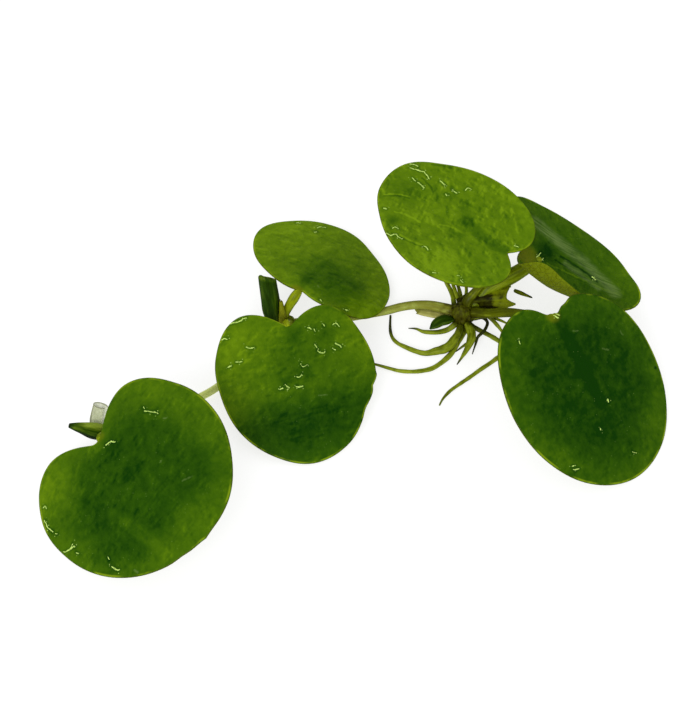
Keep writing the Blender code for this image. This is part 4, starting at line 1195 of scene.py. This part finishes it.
class FROGBIT_OT_curls(bpy.types.Operator):
    """Makes the rolled leaves, the scale leaf and the sheaths"""

    bl_idname = "frogbit.curls"
    bl_label = "Rolled leaves and sheaths"

    def execute(self, context):
        colours = context.scene.frogbit_curls
        materials = {
            "young_leaf": young_leaf_finish("young_leaf", 0.46, -0.12, 0.06, 0.3, colours),
            "third_leaf": young_leaf_finish("third_leaf", 0.56, 0.42, 0.3, -0.4, colours),
            "bud": young_leaf_finish("bud", 0.36, 0.0, 0.0, 0.0, colours),
            "bract": sheath_finish("bract", colours.bract_dark, colours.bract_light, colours.bract_dark, 1.0),
            "sheath": sheath_finish(
                "sheath", colours.sheath_dark, colours.sheath_light, colours.sheath_light, 1.0, with_painted_shade=True),
            "pale_sheath": sheath_finish(
                "pale_sheath", colours.pale_dark, colours.pale_light, colours.sheath_dark, 1.0),
            "clear_sheath": sheath_finish(
                "clear_sheath", colours.clear_dark, colours.clear_light, colours.clear_edge, 0.5),
            "shred": sheath_finish("shred", colours.shred, colours.sheath_light, colours.shred, 1.0),
        }
        slots = dict.fromkeys(("third_leaf", "bud"), "young_leaf")
        slots.update(dict.fromkeys(("clear_sheath", "pale_sheath", "shred"), "sheath"))
        for name, curl in CURLS.items():
            kind = curl["kind"]
            add_piece(f"curl_{name}", curl_mesh(curl), materials[kind], name)
        return {"FINISHED"}


class FROGBIT_OT_stage(bpy.types.Operator):
    """Makes the floor, the light and the camera"""

    bl_idname = "frogbit.stage"
    bl_label = "Stage"

    def execute(self, context):
        settings = context.scene.frogbit_stage
        scene = context.scene
        make_floor(scene, settings)
        make_light(scene, settings)
        make_camera(scene, settings)
        scene.view_settings.view_transform = "Standard"
        return {"FINISHED"}


def make_floor(scene, settings):
    """A plain pale floor just under the plant."""
    bm = bmesh.new()
    bmesh.ops.create_grid(bm, x_segments=1, y_segments=1, size=FLOOR_REACH)
    bmesh.ops.translate(bm, vec=(0, 0, -FLOOR_DROP), verts=bm.verts)
    mesh = bpy.data.meshes.new("floor")
    bm.to_mesh(mesh)
    bm.free()
    finish = new_finish(
        "floor", Base_Color=(*settings.floor, 1.0), Roughness=0.9, Specular_IOR_Level=0.0,
        Emission_Color=WHITE_LIGHT, Emission_Strength=settings.glow)
    mesh.materials.append(finish.owner)
    floor = bpy.data.objects.new("floor", mesh)
    floor.visible_glossy = False
    scene.collection.objects.link(floor)


def make_light(scene, settings):
    """Even white light from all around, dim in reflections, and one soft lamp above, in front to the left."""
    world = bpy.data.worlds.new("studio")
    sky = Finish(world, "Background", Color=WHITE_LIGHT)
    glossy = sky.node("ShaderNodeLightPath", {}, {}, "Is Glossy Ray")
    sky.feed("Strength", settings.sky + glossy * (settings.gloss_sky - settings.sky))
    world.cycles.sampling_method = "NONE"  # only then do reflections see the dimmer sky
    scene.world = world
    light = bpy.data.lights.new("lamp", "AREA")
    light.energy = settings.lamp
    light.shape = "DISK"
    light.size = LAMP_WIDTH
    lamp = bpy.data.objects.new("lamp", light)
    lamp.location = LAMP_PLACE
    lamp.rotation_euler = Vector(LAMP_PLACE).to_track_quat("Z", "Y").to_euler()
    scene.collection.objects.link(lamp)


def make_camera(scene, settings):
    """A camera straight in front of the plant, looking down at the photograph's angle."""
    width, height = PHOTO_SIZE
    camera = bpy.data.objects.new("camera", bpy.data.cameras.new("camera"))
    back = Vector((0, -cos(settings.elevation), sin(settings.elevation)))
    camera.location = Vector(settings.look_at) + back * settings.distance
    camera.rotation_euler = (pi / 2 - settings.elevation, 0, 0)
    camera.data.lens = camera.data.sensor_width * settings.distance / settings.view_width * width / height
    camera.data.clip_start = NEAREST_SEEN
    scene.collection.objects.link(camera)
    scene.camera = camera


class FROGBIT_PT_panel(bpy.types.Panel):
    """Lists the settings and the steps"""

    bl_label = "Frogbit"
    bl_idname = "FROGBIT_PT_panel"
    bl_space_type = "VIEW_3D"
    bl_region_type = "UI"
    bl_category = "Frogbit"

    def draw(self, context):
        for settings, steps in PANEL_ROWS:
            group = getattr(context.scene, settings)
            for name in group.__annotations__:
                self.layout.prop(group, name)
            for step in steps:
                self.layout.operator(step.bl_idname)


SETTINGS = {
    "frogbit_leaves": LeafSettings,
    "frogbit_stems": StemSettings,
    "frogbit_curls": CurlSettings,
    "frogbit_stage": StageSettings,
}
PANEL_ROWS = (
    ("frogbit_leaves", (FROGBIT_OT_leaves,)),
    ("frogbit_stems", (FROGBIT_OT_crowns, FROGBIT_OT_stalks, FROGBIT_OT_runners, FROGBIT_OT_roots)),
    ("frogbit_curls", (FROGBIT_OT_curls,)),
    ("frogbit_stage", (FROGBIT_OT_stage,)),
)
OPERATORS = [step for _, steps in PANEL_ROWS for step in steps]


def register():
    for group in SETTINGS.values():
        bpy.utils.register_class(group)
    for name, group in SETTINGS.items():
        setattr(bpy.types.Scene, name, PointerProperty(type=group))
    for operator in OPERATORS:
        bpy.utils.register_class(operator)
    bpy.utils.register_class(FROGBIT_PT_panel)


def unregister():
    bpy.utils.unregister_class(FROGBIT_PT_panel)
    for operator in reversed(OPERATORS):
        bpy.utils.unregister_class(operator)
    for name, group in SETTINGS.items():
        delattr(bpy.types.Scene, name)
        bpy.utils.unregister_class(group)


def main():
    """Makes every piece and the stage."""
    register()
    bpy.ops.frogbit.leaves()
    bpy.ops.frogbit.crowns()
    bpy.ops.frogbit.stalks()
    bpy.ops.frogbit.runners()
    bpy.ops.frogbit.roots()
    bpy.ops.frogbit.curls()
    bpy.ops.frogbit.stage()


if __name__ == "__main__":
    main()
